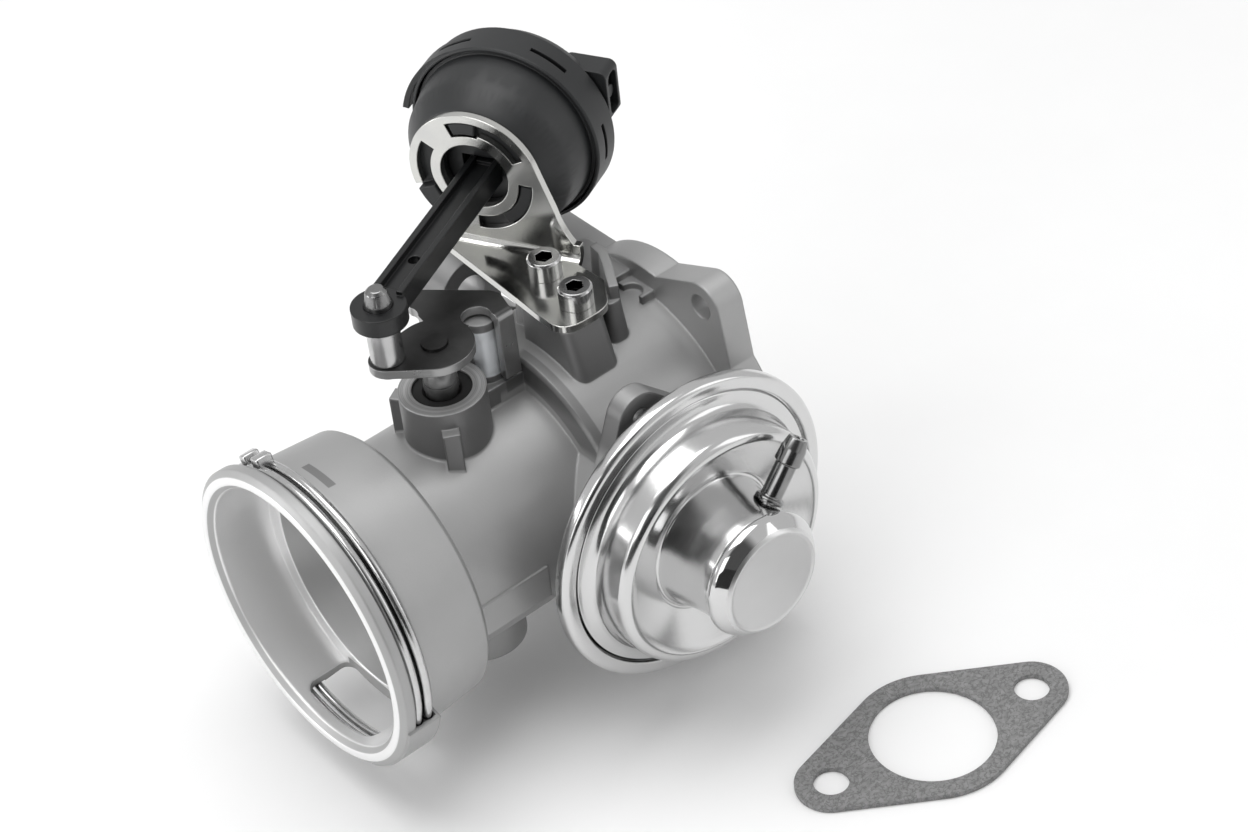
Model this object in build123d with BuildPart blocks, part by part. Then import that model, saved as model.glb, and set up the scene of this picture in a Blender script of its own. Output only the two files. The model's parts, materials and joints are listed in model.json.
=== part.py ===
"""Vacuum-operated EGR valve with a throttle flap, for the inlet side of a diesel engine.

Millimetres, +Z up. X runs along the main bore towards the outlet. The origin is the centre of the
outlet bore on the flange's mating face. The flap shaft stands along Z, and the EGR valve's stem
lies along Y, with its diaphragm chamber towards -Y and its inlet flange towards +Y.
"""
from build123d import *
from math import cos, radians, sin
import os

os.makedirs("parts", exist_ok=True)

# Fits
press_gap = 0.02
running_gap = 0.05
seat_gap = 0.05
part_gap = 0.30

# Main bore and housing, distances along X from the flap shaft
shaft_to_face = 68.0
flange_thick = 7.6
shaft_to_shoulder = 22.0
collar_back = 20.4
mouth_reach = 50.4
tube_r = 28.4
chamber_wall_r = 37.3
collar_r = 36.4
lip_r = 40.2
lip_width = 3.8
groove_width = 6.4
groove_floor_r = 37.0
socket_r = 35.1
socket_depth = 17.1
step_r = 30.5
throttle_r = 24.0
outlet_r = 28.0
register_r = 29.4
register_depth = 6.0
mouth_chamfer = 1.6
clip_wire_r = 1.2
clip_lug_r = 40.8
clip_lug_angles = [(-163, -117)]

# Outlet flange
bolt_circle_r = 49.5
bolt_hole_r = 3.4
near_bolt_angle = 119.3
far_bolt_angle = 38.8
flange_web_r = 44.0
flange_web_side = 24.0
flange_flat = 37.7
flange_ear_r = 6.6
flange_lobe_r = 31.0
flange_lobe_y = -2.0
flange_lobe_z = 12.9
ring_groove_r = 33.2
ring_section_r = 1.5
ring_groove_depth = 2.4

# Flap and shaft
shaft_r = 4.0
shaft_boss_r = 10.6
boss_rib_reach = 13.4
boss_rib_width = 4.1
boss_rib_top = 37.0
boss_rib_angle = 120.5
boss_top = 41.4
lower_boss_r = 11.2
lower_boss_depth = 38.0
bush_wall = 1.6
bush_length = 9.0
seal_r = 7.3
seal_height = 4.5
plug_r = 7.0
plug_depth = 3.0
flap_thick = 2.0
flap_gap = 0.35
flap_screw_r = 1.5
flap_screw_height = 10.0

# Lever, pin and rod
lever_top = 54.5
lever_thick = 2.4
lever_radius = 11.5
lever_angle = 161.2
lever_lobe_r = 9.5
pin_lobe_r = 4.7
tab_bottom = 35.6
pin_r = 3.4
pin_shoulder_r = 4.0
pin_tip_r = 2.55
pin_top = 75.2
eye_bottom = 65.9
eye_thick = 4.5
eye_r = 6.6
rod_width = 7.8
rod_height = 6.0
rod_web = 2.6
rod_rib = 1.5

# Flap actuator, distances back from the front face of the bracket's ring
can_height = 68.4
can_angle = 26.15
can_side = 1.5
pin_to_ring = 54.1
ring_r = 17.4
ring_hole_r = 9.0
bracket_thick = 2.0
bracket_bend_r = 2.0
slot_inner_r = 11.7
slot_outer_r = 15.3
slot_step = 0.7
hook_r = 16.9
plate_drop = 19.6
bracket_screw_r = 2.5
screw_head_r = 4.25
screw_head_height = 5.0
bowl_front = 2.1
bowl_back = 20.1
bowl_flange_r = 24.0
skirt_front = 17.4
skirt_back = 27.4
skirt_r = 25.2
skirt_lip_r = 28.0
snap_slot_half = 11.5
rear_end = 34.0
wall = 1.8
piston_front = 4.6
piston_wall_r = 14.6
piston_sheet = 1.4
piston_flange_r = 17.0
piston_depth = 8.0
actuator_spring_r = 11.4
spring_wire_r = 0.9

# EGR valve, distances along its axis from the main bore
dia_from_shaft = 36.7
neck_r = 24.4
neck_end = 38.0
ear_plate = 5.0
ear_reach = 37.3
ear_angle = 102.4
ear_hole_r = 2.4
ear_r = 6.5
rim_r = 40.9
rim_back = 40.0
rim_front = 43.9
crimp_r = 38.4
sheet = 1.2
clamp_plane = 41.2
rubber = 0.5
step_wall_r = 32.0
step_wall_top = 53.3
hub_base = 49.7
hub_base_r = 17.6
hub_r = 15.2
hub_top = 65.6
cap_front = 71.6
cap_r = 16.4
cap_face_r = 13.2
nipple_plane = 60.0
nipple_angle = 50.0
nipple_tip = 32.5
stem_r = 3.0
stem_neck_r = 2.4
guide_r = 6.2
guide_start = 24.0
washer_r = 26.0
cup_r = 24.0
plate_sheet = 0.8
spring_side_gap = 2.1
poppet_r = 12.8
poppet_thick = 2.6
seat_r = 15.2
seat_bore_r = 11.0
seat_y = 27.0
seat_thick = 5.0
egr_bore_r = 15.7
egr_face = 46.0
egr_flange_thick = 8.0
egr_bolt_spacing = 57.3
egr_bolt_r = 4.4
egr_flange_tilt = 0.0
egr_lobe_r = 20.5
egr_ear_r = 9.0

# Gasket lying beside the valve
gasket_thick = 1.5
gasket_x = -8.1
gasket_y = -98.8
gasket_turn = -12.3

# Derived places
shaft_x = -shaft_to_face
dia_x = shaft_x + dia_from_shaft
mouth_x = shaft_x - mouth_reach
collar_back_x = shaft_x - collar_back
shoulder_x = shaft_x + shaft_to_shoulder
flange_front_x = -flange_thick
lip_back_x = mouth_x + lip_width
groove_back_x = lip_back_x + groove_width
socket_floor_x = mouth_x + socket_depth
plate_top = can_height - plate_drop
pin_x = shaft_x + lever_radius * cos(radians(lever_angle))
pin_y = lever_radius * sin(radians(lever_angle))
dir_x = cos(radians(can_angle))
dir_y = sin(radians(can_angle))
ring_x = pin_x + pin_to_ring * dir_x - can_side * dir_y
ring_y = pin_y + pin_to_ring * dir_y + can_side * dir_x
outlet_angles = [near_bolt_angle, far_bolt_angle, -far_bolt_angle, -near_bolt_angle]
outlet_spots = [(bolt_circle_r * cos(radians(a)), bolt_circle_r * sin(radians(a))) for a in outlet_angles]
floor_z = -(bolt_circle_r * sin(radians(near_bolt_angle)) + flange_ear_r)
post_spots = [(shaft_x + 39.3, 7.8), (shaft_x + 37.1, -6.5)]
post_left = shaft_x + 28.2
post_right = shaft_x + 40.9

flange_plane = Plane(origin=(flange_front_x, 0, 0), x_dir=(0, 1, 0), z_dir=(1, 0, 0))
ring_plane = Plane(origin=(ring_x, ring_y, can_height), x_dir=(-dir_y, dir_x, 0), z_dir=(dir_x, dir_y, 0))
can_plane = Plane(origin=(ring_x, ring_y, can_height), x_dir=(dir_x, dir_y, 0), z_dir=(dir_y, -dir_x, 0))
rod_plane = Plane(origin=(pin_x, pin_y, can_height), x_dir=(dir_x, dir_y, 0), z_dir=(0, 0, 1))
can_axis = Axis((ring_x, ring_y, can_height), (dir_x, dir_y, 0))
egr_axis = Axis((dia_x, 0, 0), (0, -1, 0))


def save(part, name):
    part.label = name
    export_step(part, f"parts/{name}.step")


def shaft_plane(height):
    return Plane(origin=(shaft_x, 0, height))


def across_bore(x):
    """Plane across the main bore, its x along +Y and its y up."""
    return Plane(origin=(x, 0, 0), x_dir=(0, 1, 0), z_dir=(1, 0, 0))


def across_egr(distance):
    """Plane across the EGR axis, its normal along -Y, its x along +X and its y up."""
    return Plane(origin=(dia_x, -distance, 0), x_dir=(1, 0, 0), z_dir=(0, -1, 0))


def egr_points(profile):
    """Points (radius, distance) of a profile round the EGR axis, placed in the XY plane."""
    return [(dia_x + radius, -distance) for radius, distance in profile]


def on_ring(radius, angle):
    return (radius * cos(radians(angle)), radius * sin(radians(angle)))


def at_can(back, side):
    """Place in plan of a point behind the ring's front face and to the side of its axis."""
    return (ring_x + back * dir_x - side * dir_y, ring_y + back * dir_y + side * dir_x)


def ring_sector(inner_r, outer_r, first, last):
    """Part of a flat ring between two angles, as a sketch to be added."""
    with BuildSketch(Plane.XY) as sector:
        with BuildLine():
            inner = CenterArc((0, 0), inner_r, first, last - first)
            outer = CenterArc((0, 0), outer_r, first, last - first)
            Line(inner @ 0, outer @ 0)
            Line(inner @ 1, outer @ 1)
        make_face()
    return sector.sketch


# Post under the bracket: its near face slopes out to the chamber wall
post_top = plate_top - bracket_thick
with BuildPart() as bracket_post:
    with BuildSketch(across_bore(post_left)):
        with BuildLine():
            Polyline((-12.7, post_top), (-17.3, 31.0), (4.0, 31.0), (4.0, post_top), close=True)
        make_face()
    extrude(amount=post_right - post_left)
    near_edges = [e for e in bracket_post.edges() if e.center().Y < -14 and e.bounding_box().size.X < 0.1]
    fillet(near_edges, 2.8)

# Housing: outer form round the main bore
with BuildPart() as housing:
    with BuildSketch(Plane.XY):
        with BuildLine():
            Polyline(
                (mouth_x, 0),
                (mouth_x, lip_r - 1.8),
                (mouth_x + 1.4, lip_r),
                (lip_back_x, lip_r),
                (lip_back_x, groove_floor_r),
                (groove_back_x, groove_floor_r),
                (groove_back_x, collar_r + 0.9),
                (collar_back_x - 1.2, collar_r - 0.6),
                (collar_back_x, collar_r - 1.8),
                (collar_back_x, tube_r),
                (shoulder_x, tube_r),
                (shoulder_x, chamber_wall_r - 0.8),
                (shoulder_x + 0.8, chamber_wall_r),
                (0, chamber_wall_r),
                (0, 0),
                close=True,
            )
        make_face()
    revolve(axis=Axis.X)

    # Outlet flange: lobes above and below, a web cut straight beside the diaphragm chamber, four ears
    with BuildSketch(flange_plane):
        Circle(flange_web_r)
        with Locations((2 * flange_web_r - flange_web_side, 0)):
            Rectangle(4 * flange_web_r, 4 * flange_web_r, mode=Mode.SUBTRACT)
        with Locations((flange_lobe_y, flange_lobe_z), (flange_lobe_y, -flange_lobe_z)):
            Circle(flange_lobe_r)
        with Locations((-flange_flat - 10, 0)):
            Rectangle(20, 4 * flange_web_r, mode=Mode.SUBTRACT)
    extrude(amount=flange_thick)
    for spot in outlet_spots:
        with BuildSketch(flange_plane):
            Circle(chamber_wall_r)
            with Locations(spot):
                Circle(flange_ear_r)
            make_hull()
        extrude(amount=flange_thick)

    # Shaft bosses above and below
    with BuildSketch(shaft_plane(0)):
        Circle(shaft_boss_r)
    extrude(amount=boss_top)
    with BuildSketch(shaft_plane(0)):
        Circle(lower_boss_r)
    extrude(amount=-lower_boss_depth)

    # Web from the top boss to the shoulder, and the stop boss on it
    with BuildSketch(shaft_plane(tube_r - 6)):
        with Locations((15, 4.5)):
            Rectangle(20, 13)
    extrude(amount=11.6)
    with BuildSketch(shaft_plane(tube_r - 2)):
        with Locations((16.6, 5.4)):
            RectangleRounded(10.0, 11.4, 4.5)
    extrude(amount=lever_top - lever_thick - 0.7 - (tube_r - 2))

    # Two ribs on the top boss
    with BuildSketch(shaft_plane(tube_r - 8)):
        for angle in (boss_rib_angle, -boss_rib_angle):
            with PolarLocations(boss_rib_reach / 2, 1, start_angle=angle):
                Rectangle(boss_rib_reach, boss_rib_width)
    extrude(amount=boss_rib_top - tube_r + 8)

    # Post and block under the bracket, and the rib that locates the plate's edge
    add(bracket_post.part)
    with BuildSketch(shaft_plane(post_top)):
        with Locations((38.6, 5.4)):
            RectangleRounded(12.0, 17.2, 3.0)
    extrude(amount=-(post_top - 24), taper=-4)
    with BuildSketch(shaft_plane(plate_top + 1.4)):
        with BuildLine():
            Polyline(
                (45.0, -9.3), (50.0, -0.9), (51.9, 2.9), (52.4, 6.6),
                (54.6, 6.6), (53.9, 1.9), (51.9, -2.0), (46.9, -10.5), close=True,
            )
        make_face()
    extrude(amount=-(plate_top + 1.4 - 30), taper=-2)
    with BuildSketch(shaft_plane(post_top - part_gap)):
        with Locations((45.2, -9.0)):
            RectangleRounded(4.4, 4.0, 1.6)
    extrude(amount=-(post_top - part_gap - 28), taper=-6)

    # Pad and scalloped step by the outlet flange
    with BuildSketch(shaft_plane(26)):
        with Locations((57.6, 11.6)):
            RectangleRounded(8.4, 18.6, 2.0)
    extrude(amount=14.6)
    with BuildSketch(shaft_plane(26)):
        with Locations((58.6, -2.2)):
            Rectangle(4.6, 8.8)
        with Locations((56.4, -2.6)):
            Circle(2.9, mode=Mode.SUBTRACT)
    extrude(amount=13.0)

    # Squared lower corner of the throttle tube
    with BuildSketch(across_bore(collar_back_x)):
        with Locations((-22.4, -4.2)):
            Rectangle(13.0, 9.4)
    extrude(amount=collar_back + 3.0)

    # Neck and eared plate for the diaphragm chamber
    with BuildSketch(across_egr(0)):
        Circle(neck_r)
    extrude(amount=neck_end)
    with BuildSketch(across_egr(neck_end - ear_plate)):
        Circle(neck_r + 3.0)
        with PolarLocations(ear_reach, 2, start_angle=ear_angle):
            Circle(ear_r)
        make_hull()
    extrude(amount=ear_plate)

    # Neck and two-bolt flange for the exhaust gas
    with BuildSketch(across_egr(0)):
        Circle(egr_bore_r + 3.8)
    extrude(amount=-(egr_face - 1))
    with BuildSketch(across_egr(-egr_face)):
        Circle(egr_lobe_r)
        with PolarLocations(egr_bolt_spacing / 4, 2, start_angle=90 - egr_flange_tilt):
            Rectangle(egr_bolt_spacing / 2, egr_ear_r * 2)
        with PolarLocations(egr_bolt_spacing / 2, 2, start_angle=90 - egr_flange_tilt):
            Circle(egr_ear_r)
    extrude(amount=egr_flange_thick)

    # Lugs that bridge the clip groove
    for first, last in clip_lug_angles:
        with BuildSketch(across_bore(mouth_x + 1.6)):
            Circle(clip_lug_r)
            Circle(groove_floor_r - 1, mode=Mode.SUBTRACT)
            with BuildLine():
                Polyline(
                    (0, 0),
                    (70 * cos(radians(first)), 70 * sin(radians(first))),
                    (70 * cos(radians(last)), 70 * sin(radians(last))),
                    close=True,
                )
            make_face(mode=Mode.INTERSECT)
        extrude(amount=lip_width + groove_width - 1.0)

    # Gas way: socket, step, throttle bore, mixing chamber, register for the manifold's spigot
    with BuildSketch(Plane.XY):
        with BuildLine():
            Polyline(
                (mouth_x, 0),
                (mouth_x, socket_r + mouth_chamfer),
                (mouth_x + mouth_chamfer, socket_r),
                (socket_floor_x, socket_r),
                (socket_floor_x, step_r),
                (shaft_x - 20, throttle_r),
                (shaft_x + 22, throttle_r),
                (shaft_x + 30, outlet_r),
                (-register_depth, outlet_r),
                (-register_depth, register_r),
                (0, register_r),
                (0, 0),
                close=True,
            )
        make_face()
    revolve(axis=Axis.X, mode=Mode.SUBTRACT)

    # Tunnels for the clip wires through the lugs
    with BuildSketch(Plane.XY):
        with Locations(
            (lip_back_x + 1.7, groove_floor_r + part_gap + clip_wire_r),
            (lip_back_x + 4.7, groove_floor_r + part_gap + clip_wire_r),
        ):
            Circle(clip_wire_r + 0.25)
    revolve(axis=Axis.X, mode=Mode.SUBTRACT)

    # Window in the collar wall for the clip
    with BuildSketch(Plane.XY.offset(-socket_r + 4)):
        with Locations(((mouth_x + 4.4 + socket_floor_x + 1.0) / 2, -2.0)):
            RectangleRounded(socket_floor_x + 1.0 - mouth_x - 4.4, 28.0, 3.0)
    extrude(amount=-14, mode=Mode.SUBTRACT)

    # Bores for the shaft bushes, the seal and the end plug
    with BuildSketch(shaft_plane(boss_top)):
        Circle(seal_r)
    extrude(amount=-seal_height, mode=Mode.SUBTRACT)
    with BuildSketch(shaft_plane(boss_top)):
        Circle(shaft_r + bush_wall)
    extrude(amount=-(boss_top - throttle_r + 6), mode=Mode.SUBTRACT)
    with BuildSketch(shaft_plane(-lower_boss_depth)):
        Circle(shaft_r + bush_wall)
    extrude(amount=lower_boss_depth - throttle_r + 6, mode=Mode.SUBTRACT)
    with BuildSketch(shaft_plane(-lower_boss_depth)):
        Circle(plug_r)
    extrude(amount=plug_depth, mode=Mode.SUBTRACT)

    # Threaded holes for the bracket screws
    with BuildSketch(Plane.XY.offset(plate_top - bracket_thick)):
        with Locations(*post_spots):
            Circle(bracket_screw_r)
    extrude(amount=-9.0, mode=Mode.SUBTRACT)

    # Exhaust gas way, seat pocket and bore for the stem guide
    with BuildSketch(across_egr(0)):
        Circle(poppet_r + 0.7)
    extrude(amount=-seat_y, mode=Mode.SUBTRACT)
    with BuildSketch(across_egr(-seat_y)):
        Circle(seat_r + seat_gap)
    extrude(amount=-(seat_thick + seat_gap), mode=Mode.SUBTRACT)
    with BuildSketch(across_egr(-seat_y - seat_thick - seat_gap)):
        Circle(egr_bore_r)
    extrude(amount=-(egr_face - seat_y - seat_thick - seat_gap), mode=Mode.SUBTRACT)
    with BuildSketch(across_egr(0)):
        Circle(guide_r)
    extrude(amount=neck_end, mode=Mode.SUBTRACT)

    # Bolt holes and the sealing groove in the outlet face
    with BuildSketch(flange_plane):
        with Locations(*outlet_spots):
            Circle(bolt_hole_r)
    extrude(amount=flange_thick, mode=Mode.SUBTRACT)
    with BuildSketch(flange_plane.offset(flange_thick)):
        Circle(ring_groove_r + ring_section_r + 0.2)
        Circle(ring_groove_r - ring_section_r - 0.2, mode=Mode.SUBTRACT)
    extrude(amount=-ring_groove_depth, mode=Mode.SUBTRACT)
    with BuildSketch(across_egr(-egr_face)):
        with PolarLocations(egr_bolt_spacing / 2, 2, start_angle=90 - egr_flange_tilt):
            Circle(egr_bolt_r)
    extrude(amount=egr_flange_thick, mode=Mode.SUBTRACT)
    with BuildSketch(across_egr(neck_end)):
        with PolarLocations(ear_reach, 2, start_angle=ear_angle):
            Circle(ear_hole_r)
    extrude(amount=-ear_plate, mode=Mode.SUBTRACT)
save(housing.part, "housing")

# Spring clip in the collar groove: two wires joined by bent-up ends
with BuildPart() as inlet_spring_clip:
    with BuildSketch(Plane.XY):
        with Locations(
            (lip_back_x + 1.7, groove_floor_r + part_gap + clip_wire_r),
            (lip_back_x + 4.7, groove_floor_r + part_gap + clip_wire_r),
        ):
            RegularPolygon(clip_wire_r, 8)
    revolve(axis=Axis.X)
    with BuildSketch(across_bore(mouth_x)):
        with BuildLine():
            Polyline(
                (0, 0),
                (90 * cos(radians(29)), 90 * sin(radians(29))),
                (90 * cos(radians(57)), 90 * sin(radians(57))),
                close=True,
            )
        make_face()
    extrude(amount=20, mode=Mode.SUBTRACT)
    for first, last in ((60, 64), (68, 73)):
        with BuildSketch(across_bore(lip_back_x + 1.0)):
            Circle(clip_lug_r + 0.8)
            Circle(groove_floor_r + part_gap + 0.5, mode=Mode.SUBTRACT)
            with BuildLine():
                Polyline(
                    (0, 0),
                    (70 * cos(radians(first)), 70 * sin(radians(first))),
                    (70 * cos(radians(last)), 70 * sin(radians(last))),
                    close=True,
                )
            make_face(mode=Mode.INTERSECT)
        extrude(amount=4.4)
save(inlet_spring_clip.part, "inlet_spring_clip")

# Bushes, seal and plug of the flap shaft
with BuildPart() as upper_shaft_bush:
    with BuildSketch(shaft_plane(boss_top - seal_height - 0.2)):
        Circle(shaft_r + bush_wall - press_gap)
        Circle(shaft_r + running_gap, mode=Mode.SUBTRACT)
    extrude(amount=-bush_length)
save(upper_shaft_bush.part, "upper_shaft_bush")

with BuildPart() as lower_shaft_bush:
    with BuildSketch(shaft_plane(-lower_boss_depth + plug_depth + 0.4)):
        Circle(shaft_r + bush_wall - press_gap)
        Circle(shaft_r + running_gap, mode=Mode.SUBTRACT)
    extrude(amount=bush_length)
save(lower_shaft_bush.part, "lower_shaft_bush")

with BuildPart() as shaft_seal:
    with BuildSketch(shaft_plane(boss_top - seal_height + seat_gap)):
        Circle(seal_r - press_gap)
        Circle(shaft_r + running_gap, mode=Mode.SUBTRACT)
    extrude(amount=seal_height - 0.6)
    chamfer(shaft_seal.faces().sort_by(Axis.Z)[-1].edges().sort_by(SortBy.LENGTH)[0], 0.8)
save(shaft_seal.part, "shaft_seal")

with BuildPart() as shaft_end_plug:
    with BuildSketch(shaft_plane(-lower_boss_depth + 0.4)):
        Circle(plug_r - press_gap)
    extrude(amount=plug_depth - 0.4 - seat_gap)
    fillet(shaft_end_plug.faces().sort_by(Axis.Z)[0].edges(), 0.8)
save(shaft_end_plug.part, "shaft_end_plug")

# Flap shaft, slotted for the flap, its top riveted over the lever
lever_bottom = lever_top - lever_thick
with BuildPart() as flap_shaft:
    with BuildSketch(shaft_plane(-lower_boss_depth + plug_depth + 0.6)):
        Circle(shaft_r)
    extrude(amount=lever_bottom + lower_boss_depth - plug_depth - 0.6)
    with BuildSketch(shaft_plane(boss_top + 0.6)):
        Circle(shaft_r + 1.4)
    extrude(amount=2.0)
    with BuildSketch(shaft_plane(lever_bottom)):
        Circle(shaft_r - 0.9)
        with Locations((0, 6.0)):
            Rectangle(12, 6.6, mode=Mode.SUBTRACT)
    extrude(amount=lever_thick + 0.7)
    with BuildSketch(shaft_plane(-throttle_r + flap_gap - 0.15)):
        Rectangle(shaft_r * 3, flap_thick + 2 * press_gap)
    extrude(amount=2 * (throttle_r - flap_gap + 0.15), mode=Mode.SUBTRACT)
    with BuildSketch(Plane.XZ):
        with Locations((shaft_x, flap_screw_height), (shaft_x, -flap_screw_height)):
            Circle(flap_screw_r + running_gap)
    extrude(amount=shaft_r * 2, both=True, mode=Mode.SUBTRACT)
save(flap_shaft.part, "flap_shaft")

with BuildPart() as flap_plate:
    with BuildSketch(Plane.XZ):
        with Locations((shaft_x, 0)):
            Circle(throttle_r - flap_gap)
        with Locations((shaft_x, flap_screw_height), (shaft_x, -flap_screw_height)):
            Circle(flap_screw_r + running_gap, mode=Mode.SUBTRACT)
    extrude(amount=flap_thick / 2, both=True)
save(flap_plate.part, "flap_plate")

with BuildPart() as flap_screws:
    with BuildSketch(Plane.XZ.offset(-shaft_r)):
        with Locations((shaft_x, flap_screw_height), (shaft_x, -flap_screw_height)):
            Circle(flap_screw_r)
    extrude(amount=shaft_r * 2 + 0.2)
    with BuildSketch(Plane.XZ.offset(shaft_r + seat_gap)):
        with Locations((shaft_x, flap_screw_height), (shaft_x, -flap_screw_height)):
            Circle(flap_screw_r * 1.9)
    extrude(amount=1.6)
    with BuildSketch(Plane.XZ.offset(shaft_r + seat_gap + 1.6)):
        with Locations((shaft_x, flap_screw_height), (shaft_x, -flap_screw_height)):
            Rectangle(0.8, flap_screw_r * 4)
    extrude(amount=-0.7, mode=Mode.SUBTRACT)
save(flap_screws.part, "flap_screws")

# Lever plate with its stop tab
local_pin = (pin_x - shaft_x, pin_y)
with BuildPart() as lever_plate:
    with BuildSketch(shaft_plane(lever_bottom)):
        with Locations((0, 0)):
            Circle(lever_lobe_r)
        with Locations(local_pin):
            Circle(pin_lobe_r)
        make_hull()
        with BuildLine():
            Polyline((3.0, 6.0), (4.4, 15.0), (5.0, 20.2), (8.0, 20.8), (9.8, 19.6), (21.8, 6.2),
                     (22.7, 3.8), (21.2, -1.2), (21.0, -3.2), (16.4, -3.2), (14.0, 1.0), (6.0, -2.0), close=True)
        make_face()
        with Locations((1.1, 13.6)):
            Circle(3.6, mode=Mode.SUBTRACT)
        with Locations((13.2, 1.0)):
            Circle(3.6, mode=Mode.SUBTRACT)
        with Locations((13.2, -3.0)):
            Rectangle(6.4, 8.0, mode=Mode.SUBTRACT)
        Circle(shaft_r - 0.9 + seat_gap, mode=Mode.SUBTRACT)
        with Locations(local_pin):
            Circle(2.5 + seat_gap, mode=Mode.SUBTRACT)
    extrude(amount=lever_thick)
    with BuildSketch(shaft_plane(tab_bottom)):
        with Locations((18.7, -2.1)):
            Rectangle(4.6, 2.2)
    extrude(amount=lever_top - tab_bottom)
    tab_edges = lever_plate.edges().filter_by(Axis.X).filter_by(lambda e: abs(e.center().Z - lever_top) < 0.1)
    fillet(tab_edges.sort_by(Axis.Y)[0], 1.8)
save(lever_plate.part, "lever_plate")

pin_plane_xz = Plane(origin=(pin_x, pin_y, 0), x_dir=(1, 0, 0), z_dir=(0, -1, 0))
pin_axis = Axis((pin_x, pin_y, 0), (0, 0, 1))
with BuildPart() as link_pin:
    with BuildSketch(pin_plane_xz):
        with BuildLine():
            Polyline(
                (0, lever_bottom - 1.2),
                (3.4, lever_bottom - 1.2),
                (3.4, lever_bottom - seat_gap),
                (2.5, lever_bottom - seat_gap),
                (2.5, lever_top + seat_gap),
                (pin_shoulder_r, lever_top + seat_gap),
                (pin_shoulder_r, eye_bottom - 0.1),
                (pin_r, eye_bottom - 0.1),
                (pin_r, eye_bottom + eye_thick + 0.6),
                (pin_tip_r, pin_top - 0.8),
                (pin_tip_r - 0.8, pin_top),
                (0, pin_top),
                close=True,
            )
        make_face()
    revolve(axis=pin_axis)
save(link_pin.part, "link_pin")

# Link rod: channel bar with an eye, its tail held in the piston's slot
rod_tail = pin_to_ring + piston_front
with BuildPart() as link_rod:
    with BuildSketch(rod_plane.offset(eye_bottom - can_height)):
        Circle(eye_r)
    extrude(amount=eye_thick)
    with BuildSketch(rod_plane.offset(-rod_web / 2)):
        with Locations((rod_tail / 2, 0)):
            Rectangle(rod_tail - 1.2, rod_width)
    extrude(amount=rod_web)
    with BuildSketch(rod_plane.offset(-rod_height / 2)):
        with Locations((rod_tail / 2 + 2.0, rod_width / 2 - rod_rib / 2), (rod_tail / 2 + 2.0, rod_rib / 2 - rod_width / 2)):
            Rectangle(rod_tail - 5.2, rod_rib)
    extrude(amount=rod_height)
    with BuildSketch(rod_plane.offset(-2.2)):
        with Locations((rod_tail + 1.0, 0)):
            Rectangle(4.4, 5.0)
    extrude(amount=4.4)
    with BuildSketch(rod_plane.offset(-5.4)):
        with Locations((rod_tail + piston_sheet + 0.6 + 1.3, 0)):
            Rectangle(2.6, 5.0)
    extrude(amount=10.8)
    with BuildSketch(rod_plane.offset(-rod_height)):
        Circle(pin_r + running_gap)
    extrude(amount=rod_height * 2, mode=Mode.SUBTRACT)
    with BuildSketch(rod_plane.offset(-rod_web)):
        with Locations((18.5, 0)):
            Circle(1.5)
    extrude(amount=rod_web * 2, mode=Mode.SUBTRACT)
save(link_rod.part, "link_rod")

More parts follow.
